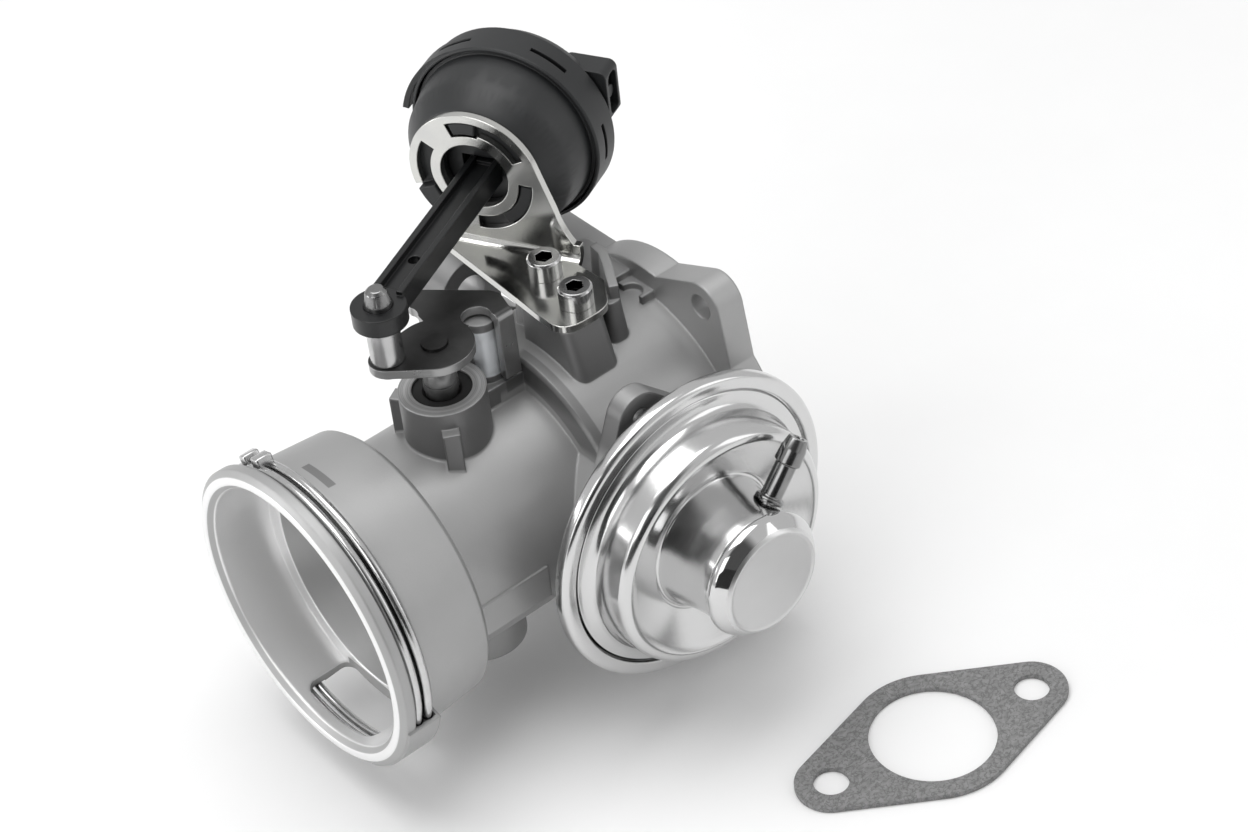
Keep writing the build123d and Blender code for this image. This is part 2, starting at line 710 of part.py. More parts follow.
# Sheet bracket with the bayonet ring
bend_out = bracket_bend_r + bracket_thick
fold_h = -plate_drop + bracket_bend_r
fold_left = 11.5
fold_right = 26.2
with BuildPart() as actuator_bracket:
    with BuildSketch(ring_plane):
        Circle(ring_r)
        with BuildLine():
            Polyline((-fold_right, fold_h), (fold_left, fold_h), (16.9, -4.0), (0, 5.8), (-16.4, 5.8), (-20.6, -7.0))
            ThreePointArc((-20.6, -7.0), (-22.8, -13.0), (-fold_right, fold_h))
        make_face()
        Circle(ring_hole_r, mode=Mode.SUBTRACT)
        add(ring_sector(slot_inner_r - 0.3, slot_outer_r, 66, 101), mode=Mode.SUBTRACT)
        add(ring_sector(slot_inner_r + slot_step - 0.3, slot_outer_r, 100, 153), mode=Mode.SUBTRACT)
        add(ring_sector(slot_inner_r, slot_outer_r, 181, 272), mode=Mode.SUBTRACT)
        add(ring_sector(slot_inner_r, slot_outer_r, -19, 31), mode=Mode.SUBTRACT)
        add(ring_sector(slot_inner_r, ring_r + 2.0, -52, -18), mode=Mode.SUBTRACT)
    extrude(amount=bracket_thick)
    with BuildSketch(can_plane.offset(-fold_left)):
        with BuildLine():
            Polyline(
                (0, -plate_drop + bracket_bend_r + 2),
                (0, -plate_drop + bracket_bend_r),
            )
            ThreePointArc(
                (0, -plate_drop + bracket_bend_r),
                (-bracket_bend_r * (1 - cos(radians(45))), -plate_drop + bracket_bend_r * (1 - cos(radians(45)))),
                (-bracket_bend_r, -plate_drop),
            )
            Polyline(
                (-bracket_bend_r, -plate_drop),
                (-bracket_bend_r - 2, -plate_drop),
                (-bracket_bend_r - 2, -plate_drop - bracket_thick),
                (-bracket_bend_r, -plate_drop - bracket_thick),
            )
            ThreePointArc(
                (-bracket_bend_r, -plate_drop - bracket_thick),
                (
                    -bracket_bend_r + bend_out * sin(radians(45)),
                    -plate_drop + bracket_bend_r - bend_out * cos(radians(45)),
                ),
                (bracket_thick, -plate_drop + bracket_bend_r),
            )
            Polyline(
                (bracket_thick, -plate_drop + bracket_bend_r),
                (bracket_thick, -plate_drop + bracket_bend_r + 2),
                (0, -plate_drop + bracket_bend_r + 2),
            )
        make_face()
    extrude(amount=fold_left + fold_right)
    with BuildSketch(Plane.XY.offset(plate_top - bracket_thick)):
        with BuildLine():
            Polyline(at_can(-bracket_bend_r, fold_left), at_can(-bracket_bend_r, -fold_right), (shaft_x + 47.1, -4.8))
            Spline((shaft_x + 47.1, -4.8), (shaft_x + 44.5, -8.9), (shaft_x + 42.6, -11.6))
            Spline(
                (shaft_x + 42.6, -11.6),
                (shaft_x + 41.2, -12.6),
                (shaft_x + 38.7, -13.2),
                (shaft_x + 34.0, -13.3),
                (shaft_x + 30.5, -12.7),
                (shaft_x + 28.3, -10.9),
                (shaft_x + 27.5, -7.3),
                (shaft_x + 27.6, -3.5),
            )
            Line((shaft_x + 27.6, -3.5), at_can(-bracket_bend_r, fold_left))
        make_face()
        with Locations(*post_spots):
            Circle(bracket_screw_r + part_gap, mode=Mode.SUBTRACT)
    extrude(amount=bracket_thick)
save(actuator_bracket.part, "actuator_bracket")

with BuildPart() as bracket_screws:
    with BuildSketch(Plane.XY.offset(plate_top - bracket_thick - 8.4)):
        with Locations(*post_spots):
            Circle(bracket_screw_r - press_gap)
    extrude(amount=bracket_thick + 8.4 + 1.0)
    with BuildSketch(Plane.XY.offset(plate_top + seat_gap)):
        with Locations(*post_spots):
            Circle(screw_head_r)
    extrude(amount=screw_head_height)
    chamfer(bracket_screws.faces().group_by(Axis.Z)[-1].edges(), 0.5)
    with BuildSketch(Plane.XY.offset(plate_top + seat_gap + screw_head_height)):
        with Locations(*post_spots):
            RegularPolygon(2.3, 6)
    extrude(amount=-2.6, mode=Mode.SUBTRACT)
save(bracket_screws.part, "bracket_screws")

# Actuator can: front bowl with bayonet tabs, and rear cover
with BuildPart() as actuator_front_shell:
    with BuildSketch(can_plane):
        with BuildLine():
            Polyline(
                (bowl_front, ring_hole_r + 0.1),
                (bowl_front, 17.4),
                (3.6, 18.6),
                (8.0, 21.6),
                (14.0, 22.7),
                (bowl_back - 1.9, 23.0),
                (bowl_back - 1.9, bowl_flange_r),
                (bowl_back, bowl_flange_r),
                (bowl_back, 21.4),
                (14.0, 21.0),
                (8.6, 19.8),
                (4.8, 17.3),
                (bowl_front + wall, 16.4),
                (bowl_front + wall, ring_hole_r + 0.1),
                close=True,
            )
        make_face()
    revolve(axis=can_axis)
    tabs = (
        (slot_inner_r + part_gap, slot_outer_r - part_gap, 70, 97, 0.0),
        (slot_inner_r + part_gap, slot_outer_r - part_gap, 185, 240, 0.5),
        (slot_inner_r + part_gap, hook_r, -49, -22, -0.6),
    )
    for tab_inner, tab_outer, first, last, tab_front in tabs:
        with BuildSketch(ring_plane.offset(tab_front)):
            add(ring_sector(tab_inner, tab_outer, first, last))
        extrude(amount=bowl_front + 1.0 - tab_front)
save(actuator_front_shell.part, "actuator_front_shell")

with BuildPart() as actuator_rear_cover:
    with BuildSketch(can_plane):
        with BuildLine():
            Polyline(
                (skirt_front, bowl_flange_r + part_gap),
                (skirt_front, skirt_r - 0.4),
                (skirt_front + 0.4, skirt_r),
                (skirt_back - 0.6, skirt_r),
                (skirt_back, skirt_r - 0.6),
                (skirt_back + 0.3, 23.8),
                (31.0, 22.2),
                (33.2, 19.4),
                (rear_end, 15.0),
                (rear_end, 0),
                (skirt_front, 0),
                close=True,
            )
        make_face()
    revolve(axis=can_axis)
    with BuildSketch(ring_plane.offset(28.0)):
        with Locations((-17.2, 8.2)):
            RectangleRounded(13.4, 14.6, 2.0)
    extrude(amount=6.6)
    with BuildSketch(ring_plane.offset(skirt_front + 0.6)):
        with BuildLine():
            lip_out = ThreePointArc(on_ring(skirt_r, 62), on_ring(26.3, 34), on_ring(skirt_lip_r, 6))
            lip_in = ThreePointArc(on_ring(skirt_r - 1.7, 62), on_ring(24.9, 34), on_ring(skirt_lip_r - 1.7, 6))
            Line(lip_out @ 0, lip_in @ 0)
            Line(lip_out @ 1, lip_in @ 1)
        make_face()
    extrude(amount=6.4)
    with BuildSketch(can_plane):
        with BuildLine():
            Polyline(
                (skirt_front, 0),
                (skirt_front, bowl_flange_r + part_gap),
                (bowl_back + rubber + 0.3, bowl_flange_r + part_gap),
                (bowl_back + rubber + 0.3, 22.0),
                (26.5, 21.8),
                (29.8, 20.4),
                (31.6, 18.2),
                (rear_end - wall, 14.5),
                (rear_end - wall, 0),
                close=True,
            )
        make_face()
    revolve(axis=can_axis, mode=Mode.SUBTRACT)
    with BuildSketch(can_plane.offset(26.0)):
        with Locations((31.4, 8.2)):
            RectangleRounded(4.6, 11.4, 1.8)
    extrude(amount=-6.6, mode=Mode.SUBTRACT)
    with BuildSketch(can_plane.offset(17.0)):
        with Locations((31.4, 8.2)):
            Circle(1.7)
    extrude(amount=6.0)
    for angle in range(0, 360, 60):
        with BuildSketch(ring_plane.offset(21.2)):
            add(ring_sector(skirt_r - 3.5, skirt_r + 3.5, angle - snap_slot_half, angle + snap_slot_half))
        extrude(amount=1.3, mode=Mode.SUBTRACT)
save(actuator_rear_cover.part, "actuator_rear_cover")

# Actuator piston, its diaphragm and its spring
with BuildPart() as actuator_piston:
    with BuildSketch(can_plane):
        with BuildLine():
            Polyline(
                (piston_front, 0),
                (piston_front, piston_wall_r - 1.0),
                (piston_front + 1.0, piston_wall_r),
                (piston_front + piston_depth - piston_sheet, piston_wall_r),
                (piston_front + piston_depth - piston_sheet, piston_flange_r),
                (piston_front + piston_depth, piston_flange_r),
                (piston_front + piston_depth, piston_wall_r - piston_sheet),
                (piston_front + piston_sheet, piston_wall_r - piston_sheet),
                (piston_front + piston_sheet, 0),
                close=True,
            )
        make_face()
    revolve(axis=can_axis)
    with BuildSketch(ring_plane.offset(piston_front)):
        with Locations((1.7 - can_side, 0)):
            Rectangle(9.8, 5.4)
    extrude(amount=piston_sheet, mode=Mode.SUBTRACT)
save(actuator_piston.part, "actuator_piston")

piston_back = piston_front + piston_depth
with BuildPart() as actuator_diaphragm:
    with BuildSketch(can_plane):
        with BuildLine():
            Polyline(
                (piston_back + seat_gap, 13.4),
                (piston_back + seat_gap, 17.4),
                (bowl_back + 0.1, 20.6),
                (bowl_back + 0.1, bowl_flange_r),
                (bowl_back + 0.1 + rubber, bowl_flange_r),
                (bowl_back + 0.1 + rubber, 20.2),
                (piston_back + seat_gap + rubber, 17.0),
                (piston_back + seat_gap + rubber, 13.4),
                close=True,
            )
        make_face()
    revolve(axis=can_axis)
save(actuator_diaphragm.part, "actuator_diaphragm")

spring_start = piston_front + piston_sheet + spring_wire_r + seat_gap
spring_length = rear_end - wall - 0.4 - spring_wire_r - spring_start
with BuildPart() as actuator_spring:
    with BuildLine():
        coil = Helix(
            pitch=spring_length / 5.0,
            height=spring_length,
            radius=actuator_spring_r,
            center=(ring_x + spring_start * dir_x, ring_y + spring_start * dir_y, can_height),
            direction=(dir_x, dir_y, 0),
        )
    with BuildSketch(Plane(origin=coil @ 0, z_dir=coil % 0)):
        RegularPolygon(spring_wire_r, 6)
    sweep(path=coil)
save(actuator_spring.part, "actuator_spring")

# Diaphragm chamber of the EGR valve
with BuildPart() as diaphragm_lower_shell:
    with BuildSketch(Plane.XY):
        with BuildLine():
            Polyline(
                *egr_points([
                    (guide_r + seat_gap, neck_end + seat_gap),
                    (35.4, neck_end + seat_gap),
                    (37.4, rim_back),
                    (rim_r - 0.8, rim_back),
                    (rim_r, rim_back + 0.8),
                    (rim_r, rim_front - 0.9),
                    (rim_r - 0.9, rim_front),
                    (crimp_r, rim_front),
                    (crimp_r, rim_front - sheet + 0.05),
                    (rim_r - sheet, rim_front - sheet + 0.05),
                    (rim_r - sheet, clamp_plane - seat_gap),
                    (36.9, clamp_plane - seat_gap),
                    (34.9, neck_end + seat_gap + sheet),
                    (guide_r + seat_gap, neck_end + seat_gap + sheet),
                ]),
                close=True,
            )
        make_face()
    revolve(axis=egr_axis)
save(diaphragm_lower_shell.part, "diaphragm_lower_shell")

flange_back = clamp_plane + rubber + seat_gap
with BuildPart() as diaphragm_upper_shell:
    with BuildSketch(Plane.XY):
        with BuildLine():
            Polyline(
                *egr_points([
                    (rim_r - sheet - 0.2, flange_back),
                    (rim_r - sheet - 0.2, rim_front - sheet),
                    (crimp_r - 0.3, rim_front - sheet),
                    (crimp_r - 0.9, rim_front - 0.5),
                    (34.6, rim_front - 0.5),
                    (32.7, 44.2),
                    (step_wall_r, 45.9),
                    (step_wall_r - 0.4, step_wall_top),
                    (30.8, 54.5),
                    (29.6, 54.8),
                    (28.0, 54.5),
                    (hub_base_r + 0.6, hub_base + 0.3),
                    (hub_base_r - 0.3, hub_base + 0.3),
                    (hub_r + 1.5, 51.4),
                    (hub_r + 0.7, 55.0),
                    (hub_r, 60.0),
                    (hub_r, hub_top),
                    (0, hub_top),
                    (0, hub_top - sheet),
                    (hub_r - sheet, hub_top - sheet),
                    (hub_r - sheet, 60.0),
                    (hub_r - 0.5, 54.8),
                    (hub_r + 0.2, 50.8),
                    (16.8, hub_base - 1.0),
                    (18.6, hub_base - 1.0),
                    (28.4, 53.3),
                    (29.8, 53.6),
                    (30.5, 52.8),
                    (30.9, 45.8),
                    (31.9, 43.5),
                    (34.2, 42.4),
                    (37.2, 42.4),
                    (37.6, flange_back),
                ]),
                close=True,
            )
        make_face()
    revolve(axis=egr_axis)
    with BuildSketch(Plane(
        origin=(dia_x, -nipple_plane, 0),
        x_dir=(0, -1, 0),
        z_dir=(cos(radians(nipple_angle)), 0, sin(radians(nipple_angle))),
    )):
        Circle(2.4 + seat_gap)
    extrude(amount=20, mode=Mode.SUBTRACT)
save(diaphragm_upper_shell.part, "diaphragm_upper_shell")

with BuildPart() as nose_cap:
    with BuildSketch(Plane.XY):
        with BuildLine():
            Polyline(
                *egr_points([
                    (0, hub_top + seat_gap),
                    (15.0, hub_top + seat_gap),
                    (cap_r, hub_top + 0.9),
                    (cap_r, hub_top + 1.8),
                    (cap_r - 0.6, hub_top + 2.6),
                    (cap_face_r + 0.5, cap_front - 0.5),
                    (cap_face_r - 0.4, cap_front),
                    (0, cap_front),
                ]),
                close=True,
            )
        make_face()
    revolve(axis=egr_axis)
save(nose_cap.part, "nose_cap")

nipple_dir = (cos(radians(nipple_angle)), 0, sin(radians(nipple_angle)))
nipple_axis = Axis((dia_x, -nipple_plane, 0), nipple_dir)
with BuildPart() as vacuum_nipple:
    with BuildSketch(Plane(origin=(dia_x, -nipple_plane, 0), x_dir=nipple_dir, z_dir=(-nipple_dir[2], 0, nipple_dir[0]))):
        with BuildLine():
            Polyline(
                (hub_r - sheet - 0.6, 1.2),
                (hub_r - sheet - 0.6, 2.4),
                (hub_r + 0.6, 2.4),
                (hub_r + 0.6, 3.6),
                (hub_r + 1.8, 3.4),
                (hub_r + 2.1, 2.4),
                (nipple_tip - 6.4, 2.4),
                (nipple_tip - 6.0, 2.95),
                (nipple_tip - 2.6, 2.95),
                (nipple_tip, 2.0),
                (nipple_tip, 1.2),
                close=True,
            )
        make_face()
    revolve(axis=nipple_axis)
save(vacuum_nipple.part, "vacuum_nipple")

with BuildPart() as egr_diaphragm:
    with BuildSketch(Plane.XY):
        with BuildLine():
            Polyline(
                *egr_points([
                    (stem_neck_r + seat_gap, clamp_plane),
                    (26.8, clamp_plane),
                    (27.8, clamp_plane + 1.8),
                    (29.6, clamp_plane + 1.8),
                    (30.4, clamp_plane),
                    (rim_r - sheet - 0.2, clamp_plane),
                    (rim_r - sheet - 0.2, clamp_plane + rubber),
                    (30.8, clamp_plane + rubber),
                    (30.0, clamp_plane + 1.8 + rubber),
                    (27.4, clamp_plane + 1.8 + rubber),
                    (26.4, clamp_plane + rubber),
                    (stem_neck_r + seat_gap, clamp_plane + rubber),
                ]),
                close=True,
            )
        make_face()
    revolve(axis=egr_axis)
save(egr_diaphragm.part, "egr_diaphragm")

# Plates that grip the diaphragm, the stem and the poppet
with BuildPart() as diaphragm_washer:
    with BuildSketch(across_egr(clamp_plane - seat_gap)):
        Circle(washer_r)
        Circle(stem_neck_r + seat_gap, mode=Mode.SUBTRACT)
    extrude(amount=-plate_sheet)
save(diaphragm_washer.part, "diaphragm_washer")

cup_plane = clamp_plane + rubber + seat_gap
with BuildPart() as diaphragm_cup:
    with BuildSketch(Plane.XY):
        with BuildLine():
            Polyline(
                *egr_points([
                    (stem_neck_r + seat_gap, cup_plane),
                    (cup_r, cup_plane),
                    (cup_r, cup_plane + plate_sheet),
                    (13.0, cup_plane + plate_sheet),
                    (13.0, cup_plane + 3.0),
                    (12.3, cup_plane + 3.0),
                    (12.3, cup_plane + plate_sheet),
                    (stem_neck_r + seat_gap, cup_plane + plate_sheet),
                ]),
                close=True,
            )
        make_face()
    revolve(axis=egr_axis)
save(diaphragm_cup.part, "diaphragm_cup")

washer_back = clamp_plane - seat_gap - plate_sheet
with BuildPart() as valve_stem:
    with BuildSketch(across_egr(washer_back - seat_gap)):
        Circle(stem_r)
    extrude(amount=-(washer_back - seat_gap + seat_y - poppet_thick - 0.1))
    with BuildSketch(across_egr(cup_plane + plate_sheet + 1.6)):
        Circle(stem_neck_r)
    extrude(amount=-(cup_plane + plate_sheet + 1.6 + seat_y))
save(valve_stem.part, "valve_stem")

with BuildPart() as stem_rivet:
    with BuildSketch(across_egr(cup_plane + plate_sheet + seat_gap)):
        Circle(5.0)
        Circle(stem_neck_r + seat_gap, mode=Mode.SUBTRACT)
    extrude(amount=1.8)
    fillet(stem_rivet.faces().sort_by(Axis.Y)[0].edges().sort_by(SortBy.LENGTH)[-1], 0.8)
save(stem_rivet.part, "stem_rivet")

with BuildPart() as valve_poppet:
    with BuildSketch(across_egr(-(seat_y - 0.1))):
        Circle(poppet_r)
        Circle(stem_neck_r + seat_gap, mode=Mode.SUBTRACT)
    extrude(amount=poppet_thick - 0.1)
    chamfer(valve_poppet.faces().sort_by(Axis.Y)[-1].edges().sort_by(SortBy.LENGTH)[-1], 0.8)
save(valve_poppet.part, "valve_poppet")

with BuildPart() as valve_seat_ring:
    with BuildSketch(across_egr(-(seat_y + seat_gap))):
        Circle(seat_r)
        Circle(seat_bore_r, mode=Mode.SUBTRACT)
    extrude(amount=-seat_thick)
    chamfer(valve_seat_ring.faces().sort_by(Axis.Y)[-1].edges().sort_by(SortBy.LENGTH)[0], 1.2)
save(valve_seat_ring.part, "valve_seat_ring")

with BuildPart() as stem_guide_bush:
    with BuildSketch(across_egr(guide_start)):
        Circle(guide_r - press_gap)
        Circle(stem_r + running_gap, mode=Mode.SUBTRACT)
    extrude(amount=washer_back - 0.2 - guide_start)
save(stem_guide_bush.part, "stem_guide_bush")

with BuildPart() as stem_shield:
    with BuildSketch(across_egr(guide_start - 1.2)):
        Circle(guide_r + 1.4)
        Circle(stem_r + part_gap, mode=Mode.SUBTRACT)
    extrude(amount=1.2 - seat_gap)
    with BuildSketch(across_egr(guide_start - 0.2)):
        Circle(guide_r + 1.4)
        Circle(guide_r + press_gap, mode=Mode.SUBTRACT)
    extrude(amount=2.4)
save(stem_shield.part, "stem_shield")

return_spring_r = hub_r - sheet - spring_wire_r - spring_side_gap
return_start = cup_plane + plate_sheet + spring_wire_r + seat_gap
return_length = hub_top - sheet - seat_gap - spring_wire_r - return_start
with BuildPart() as egr_spring:
    with BuildLine():
        return_coil = Helix(
            pitch=return_length / 5.0,
            height=return_length,
            radius=return_spring_r,
            center=(dia_x, -return_start, 0),
            direction=(0, -1, 0),
        )
    with BuildSketch(Plane(origin=return_coil @ 0, z_dir=return_coil % 0)):
        RegularPolygon(spring_wire_r, 6)
    sweep(path=return_coil)
save(egr_spring.part, "egr_spring")

# Sealing ring of the outlet flange
with BuildPart() as outlet_seal_ring:
    with BuildSketch(Plane.XY):
        with Locations((-ring_groove_depth + seat_gap + ring_section_r, ring_groove_r)):
            RegularPolygon(ring_section_r, 8)
    revolve(axis=Axis.X)
save(outlet_seal_ring.part, "outlet_seal_ring")

# Loose gasket for the exhaust gas flange
gasket_plane = Plane(
    origin=(gasket_x, gasket_y, floor_z),
    x_dir=(cos(radians(gasket_turn)), sin(radians(gasket_turn)), 0),
    z_dir=(0, 0, 1),
)
with BuildPart() as egr_gasket:
    with BuildSketch(gasket_plane):
        Circle(egr_lobe_r)
        with Locations((-egr_bolt_spacing / 2, 0), (egr_bolt_spacing / 2, 0)):
            Circle(egr_ear_r)
        make_hull()
        Circle(egr_bore_r, mode=Mode.SUBTRACT)
        with Locations((-egr_bolt_spacing / 2, 0), (egr_bolt_spacing / 2, 0)):
            Circle(egr_bolt_r, mode=Mode.SUBTRACT)
    extrude(amount=gasket_thick)
save(egr_gasket.part, "egr_gasket")
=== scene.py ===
"""Looks of a vacuum-operated EGR valve with a throttle flap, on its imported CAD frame."""

import json
import math

import bmesh
import bpy
from mathutils import Matrix, Vector


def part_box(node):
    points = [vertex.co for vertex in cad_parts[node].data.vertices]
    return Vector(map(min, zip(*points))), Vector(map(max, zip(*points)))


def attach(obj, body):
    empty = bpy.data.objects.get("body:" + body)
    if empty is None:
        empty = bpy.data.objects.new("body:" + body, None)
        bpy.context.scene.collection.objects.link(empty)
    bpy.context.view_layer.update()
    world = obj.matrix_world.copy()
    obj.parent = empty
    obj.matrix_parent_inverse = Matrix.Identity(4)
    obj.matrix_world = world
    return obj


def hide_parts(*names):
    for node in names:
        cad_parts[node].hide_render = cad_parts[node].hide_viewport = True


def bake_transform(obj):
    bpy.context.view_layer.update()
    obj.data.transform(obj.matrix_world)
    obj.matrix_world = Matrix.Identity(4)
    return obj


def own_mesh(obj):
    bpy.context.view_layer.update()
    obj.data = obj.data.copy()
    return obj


bl_info = {
    "name": "EGR Valve Looks",
    "version": (1, 0, 0),
    "blender": (4, 5, 0),
    "location": "View3D > Sidebar > EGR Valve",
    "description": "Finishes, turned sheet parts, spring clip and studio of an EGR valve",
    "category": "Object",
}

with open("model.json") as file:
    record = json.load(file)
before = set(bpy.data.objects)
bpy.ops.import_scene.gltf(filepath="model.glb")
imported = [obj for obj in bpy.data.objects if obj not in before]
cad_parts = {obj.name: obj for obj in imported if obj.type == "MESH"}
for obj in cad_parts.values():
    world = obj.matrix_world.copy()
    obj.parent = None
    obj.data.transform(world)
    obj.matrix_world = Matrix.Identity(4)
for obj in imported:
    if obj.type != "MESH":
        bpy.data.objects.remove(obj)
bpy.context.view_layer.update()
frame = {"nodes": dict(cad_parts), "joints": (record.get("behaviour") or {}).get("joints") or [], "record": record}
BODY_OF = {node: body for body, nodes in frame["record"]["behaviour"]["bodies"].items() for node in nodes}
SLOT_OF = {entry["node"]: entry["material_slot"] for entry in frame["record"]["subparts"]}

MM = 0.001

# Reference lines of the valve, read from the frame
SHELL_LOW, SHELL_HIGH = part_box("diaphragm_lower_shell")
EGR_X = (SHELL_LOW.x + SHELL_HIGH.x) / 2
EGR_Z = (SHELL_LOW.z + SHELL_HIGH.z) / 2
BUSH_LOW, BUSH_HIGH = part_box("upper_shaft_bush")
SHAFT_X = (BUSH_LOW.x + BUSH_HIGH.x) / 2
MOUTH_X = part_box("housing")[0].x
FLOOR_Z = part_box("housing")[0].z
LEVER_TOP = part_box("lever_plate")[1].z
SCREW_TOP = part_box("bracket_screws")[1].z

# Profiles of turned pieces, in millimetres: radius, distance along the axis, corner radius
LOWER_SHELL = [
    (6.25, 38.05), (35.4, 38.05, 0.9), (37.4, 40.0, 0.8), (40.9, 40.0, 1.0), (40.9, 43.9, 1.5),
    (37.1, 43.9, 0.35), (37.1, 42.75), (39.7, 42.75, 0.3), (39.7, 41.15), (36.9, 41.15, 0.8),
    (34.9, 39.25, 0.8), (6.25, 39.25),
]
UPPER_SHELL = [
    (39.5, 41.75), (39.5, 42.7), (36.8, 42.7), (36.3, 43.4, 0.2), (34.6, 43.4, 1.2), (32.7, 44.3, 0.9),
    (32.1, 46.2, 0.8), (31.6, 53.4, 1.1), (29.7, 54.9, 1.6), (27.8, 54.3, 0.9), (18.4, 50.0, 0.6),
    (17.4, 50.0, 0.5), (16.9, 51.6, 0.8), (16.0, 55.6, 2.2), (15.2, 60.0, 2.4), (15.2, 65.6, 0.4),
    (0, 65.6), (0, 64.4), (14.0, 64.4), (14.0, 60.0), (14.7, 54.8), (15.4, 50.8), (16.8, 48.7),
    (18.6, 48.7), (28.4, 53.3), (29.8, 53.6), (30.5, 52.8), (30.9, 45.8), (31.9, 43.5), (34.2, 42.4),
    (37.2, 42.4), (37.6, 41.75),
]
NOSE_CAP = [
    (0, 65.65), (15.0, 65.65, 0.4), (16.4, 66.5, 0.5), (16.4, 68.0, 1.6), (13.9, 71.1, 1.0),
    (13.2, 71.6, 0.25), (12.6, 71.35, 0.4), (0, 71.0),
]
NIPPLE = [
    (1.2, 13.4), (2.4, 13.4), (2.4, 15.7), (3.7, 15.7, 0.3), (3.6, 16.8, 0.4), (2.65, 17.2, 0.4),
    (2.65, 25.6, 0.15), (3.3, 26.0, 0.15), (3.3, 26.6, 0.15), (3.15, 29.6, 0.3), (2.45, 32.5, 0.25),
    (1.4, 32.5, 0.2), (1.2, 31.8),
]
NIPPLE_PLANE = 60.0
NIPPLE_ANGLE = math.radians(50)
NIPPLE_STEPS = 48

# Painted shade in the crease inside the crimp, by its radii and the width left of the shells' axis over
# which it fades out, and the plane in front of which the nose cap is rougher, in millimetres
CRIMP_SHADE_R = (36.35, 37.0)
CRIMP_SHADE_FADE = 22.0
NOSE_FACE = -70.6

# Spring clip: millimetres along and across the bore, degrees round it from +Y, and its counts
CLIP_R = 38.5
CLIP_WIRES = (-112.9, -109.9)
CLIP_GAP = (29, 57)
CLIP_TABS = ((60, 64), (68, 73))
CLIP_TAB_R = 39.7
CLIP_TAB_WIDTH = 4.4
CLIP_TAB_HEIGHT = 4.2
CLIP_TAB_EDGE = 0.5
CLIP_SIDES = 12
CLIP_STEPS = 150

# Edges over these angles, in degrees, stay sharp
SHARP_COPY = 30
SHARP_TURNED = 40
SHARP_CLIP = 50

# Bracket screws and flap shaft, in millimetres
SCREW_SPOTS = ((-28.7, 7.8), (-30.9, -6.5))
SCREW_SOCKET_R = 2.45
SHAFT_SHOULDER_R = 4.8
SHAFT_RING_R = 4.25
SHAFT_SHOULDER_Z = 40.0
PIN_CONE = 9.0

# Places on the casting with a finish of their own, or with painted shade: groove, boss, raised and
# band are painted shade, and patch is darkened like groove. Each is bounded along the axes, from the
# bore's axis or from the shaft's axis, by a low end, a high end and a soft edge in millimetres
FAR = 200.0
MOUTH = MOUTH_X / MM
SHAFT = SHAFT_X / MM
CASTING_PLACES = {
    "lip": {"x": (-FAR, MOUTH + 0.1, 0.2)},
    "socket": {"x": (-FAR, MOUTH + 17.2, 0.2), "bore": (0.0, 35.2, 0.3)},
    "groove": {
        "x": (MOUTH + 3.9, MOUTH + 10.1, 0.1),
        "y": (-FAR, 0.0, 5.0),
        "z": (-FAR, 29.0, 5.0),
        "bore": (36.8, 39.6, 0.3),
    },
    "patch": {"x": (-105.6, -103.6, 0.2), "y": (-4.5, 6.0, 0.3), "z": (31.0, FAR, 1.0)},
    "boss_top": {"z": (41.2, FAR, 0.1), "shaft": (0.0, 10.8, 0.2)},
    "boss": {"z": (23.0, FAR, 3.0), "bore": (29.3, FAR, 0.6), "shaft": (0.0, 14.5, 0.5)},
    "raised": {"x": (SHAFT - 14.0, -12.0, 3.0), "z": (32.0, FAR, 5.0), "bore": (32.5, FAR, 3.0)},
    "band": {
        "x": (-51.0, -43.0, 0.5),
        "y": (-27.0, 0.0, 2.0),
        "z": (23.0, FAR, 3.0),
        "bore": (31.0, FAR, 0.8),
    },
    "pad": {"x": (-56.0, -46.5, 0.3), "y": (-4.0, 12.0, 0.3), "z": (36.0, 49.0, 0.5)},
}

# Camera fitted to the photograph, with its turns in degrees and its shifts in millimetres
IMAGE_WIDTH = 1248
FOCAL_PX = 3225.0
CAMERA_AZIMUTH = -35.95
CAMERA_ELEVATION = 39.85
CAMERA_ROLL = -7.04
CAMERA_DISTANCE = 785.16
CAMERA_RIGHT = 38.952
CAMERA_UP = 24.732

# Area lights: name, place and size in metres, power in watts
LIGHTS = (
    ("top_light", (-0.10, 0.10, 0.95), (0.8, 0.8), 5.5),
    ("left_light", (-0.95, -0.30, 0.45), (0.5, 0.8), 2.4),
    ("right_light", (0.75, -0.75, 0.45), (0.4, 0.8), 1.0),
    ("far_left_light", (-0.90, 0.55, 0.16), (0.35, 0.4), 2.2),
)
SKY_GAP_TOWARDS = (-0.45, -0.62, 0.64)
CARD_HALF_SIZE = (0.35, 0.12)
CARD_TURN = -42.0
CARD_PLACE = (SHAFT_X - 0.30, -0.38, FLOOR_Z + 0.125)


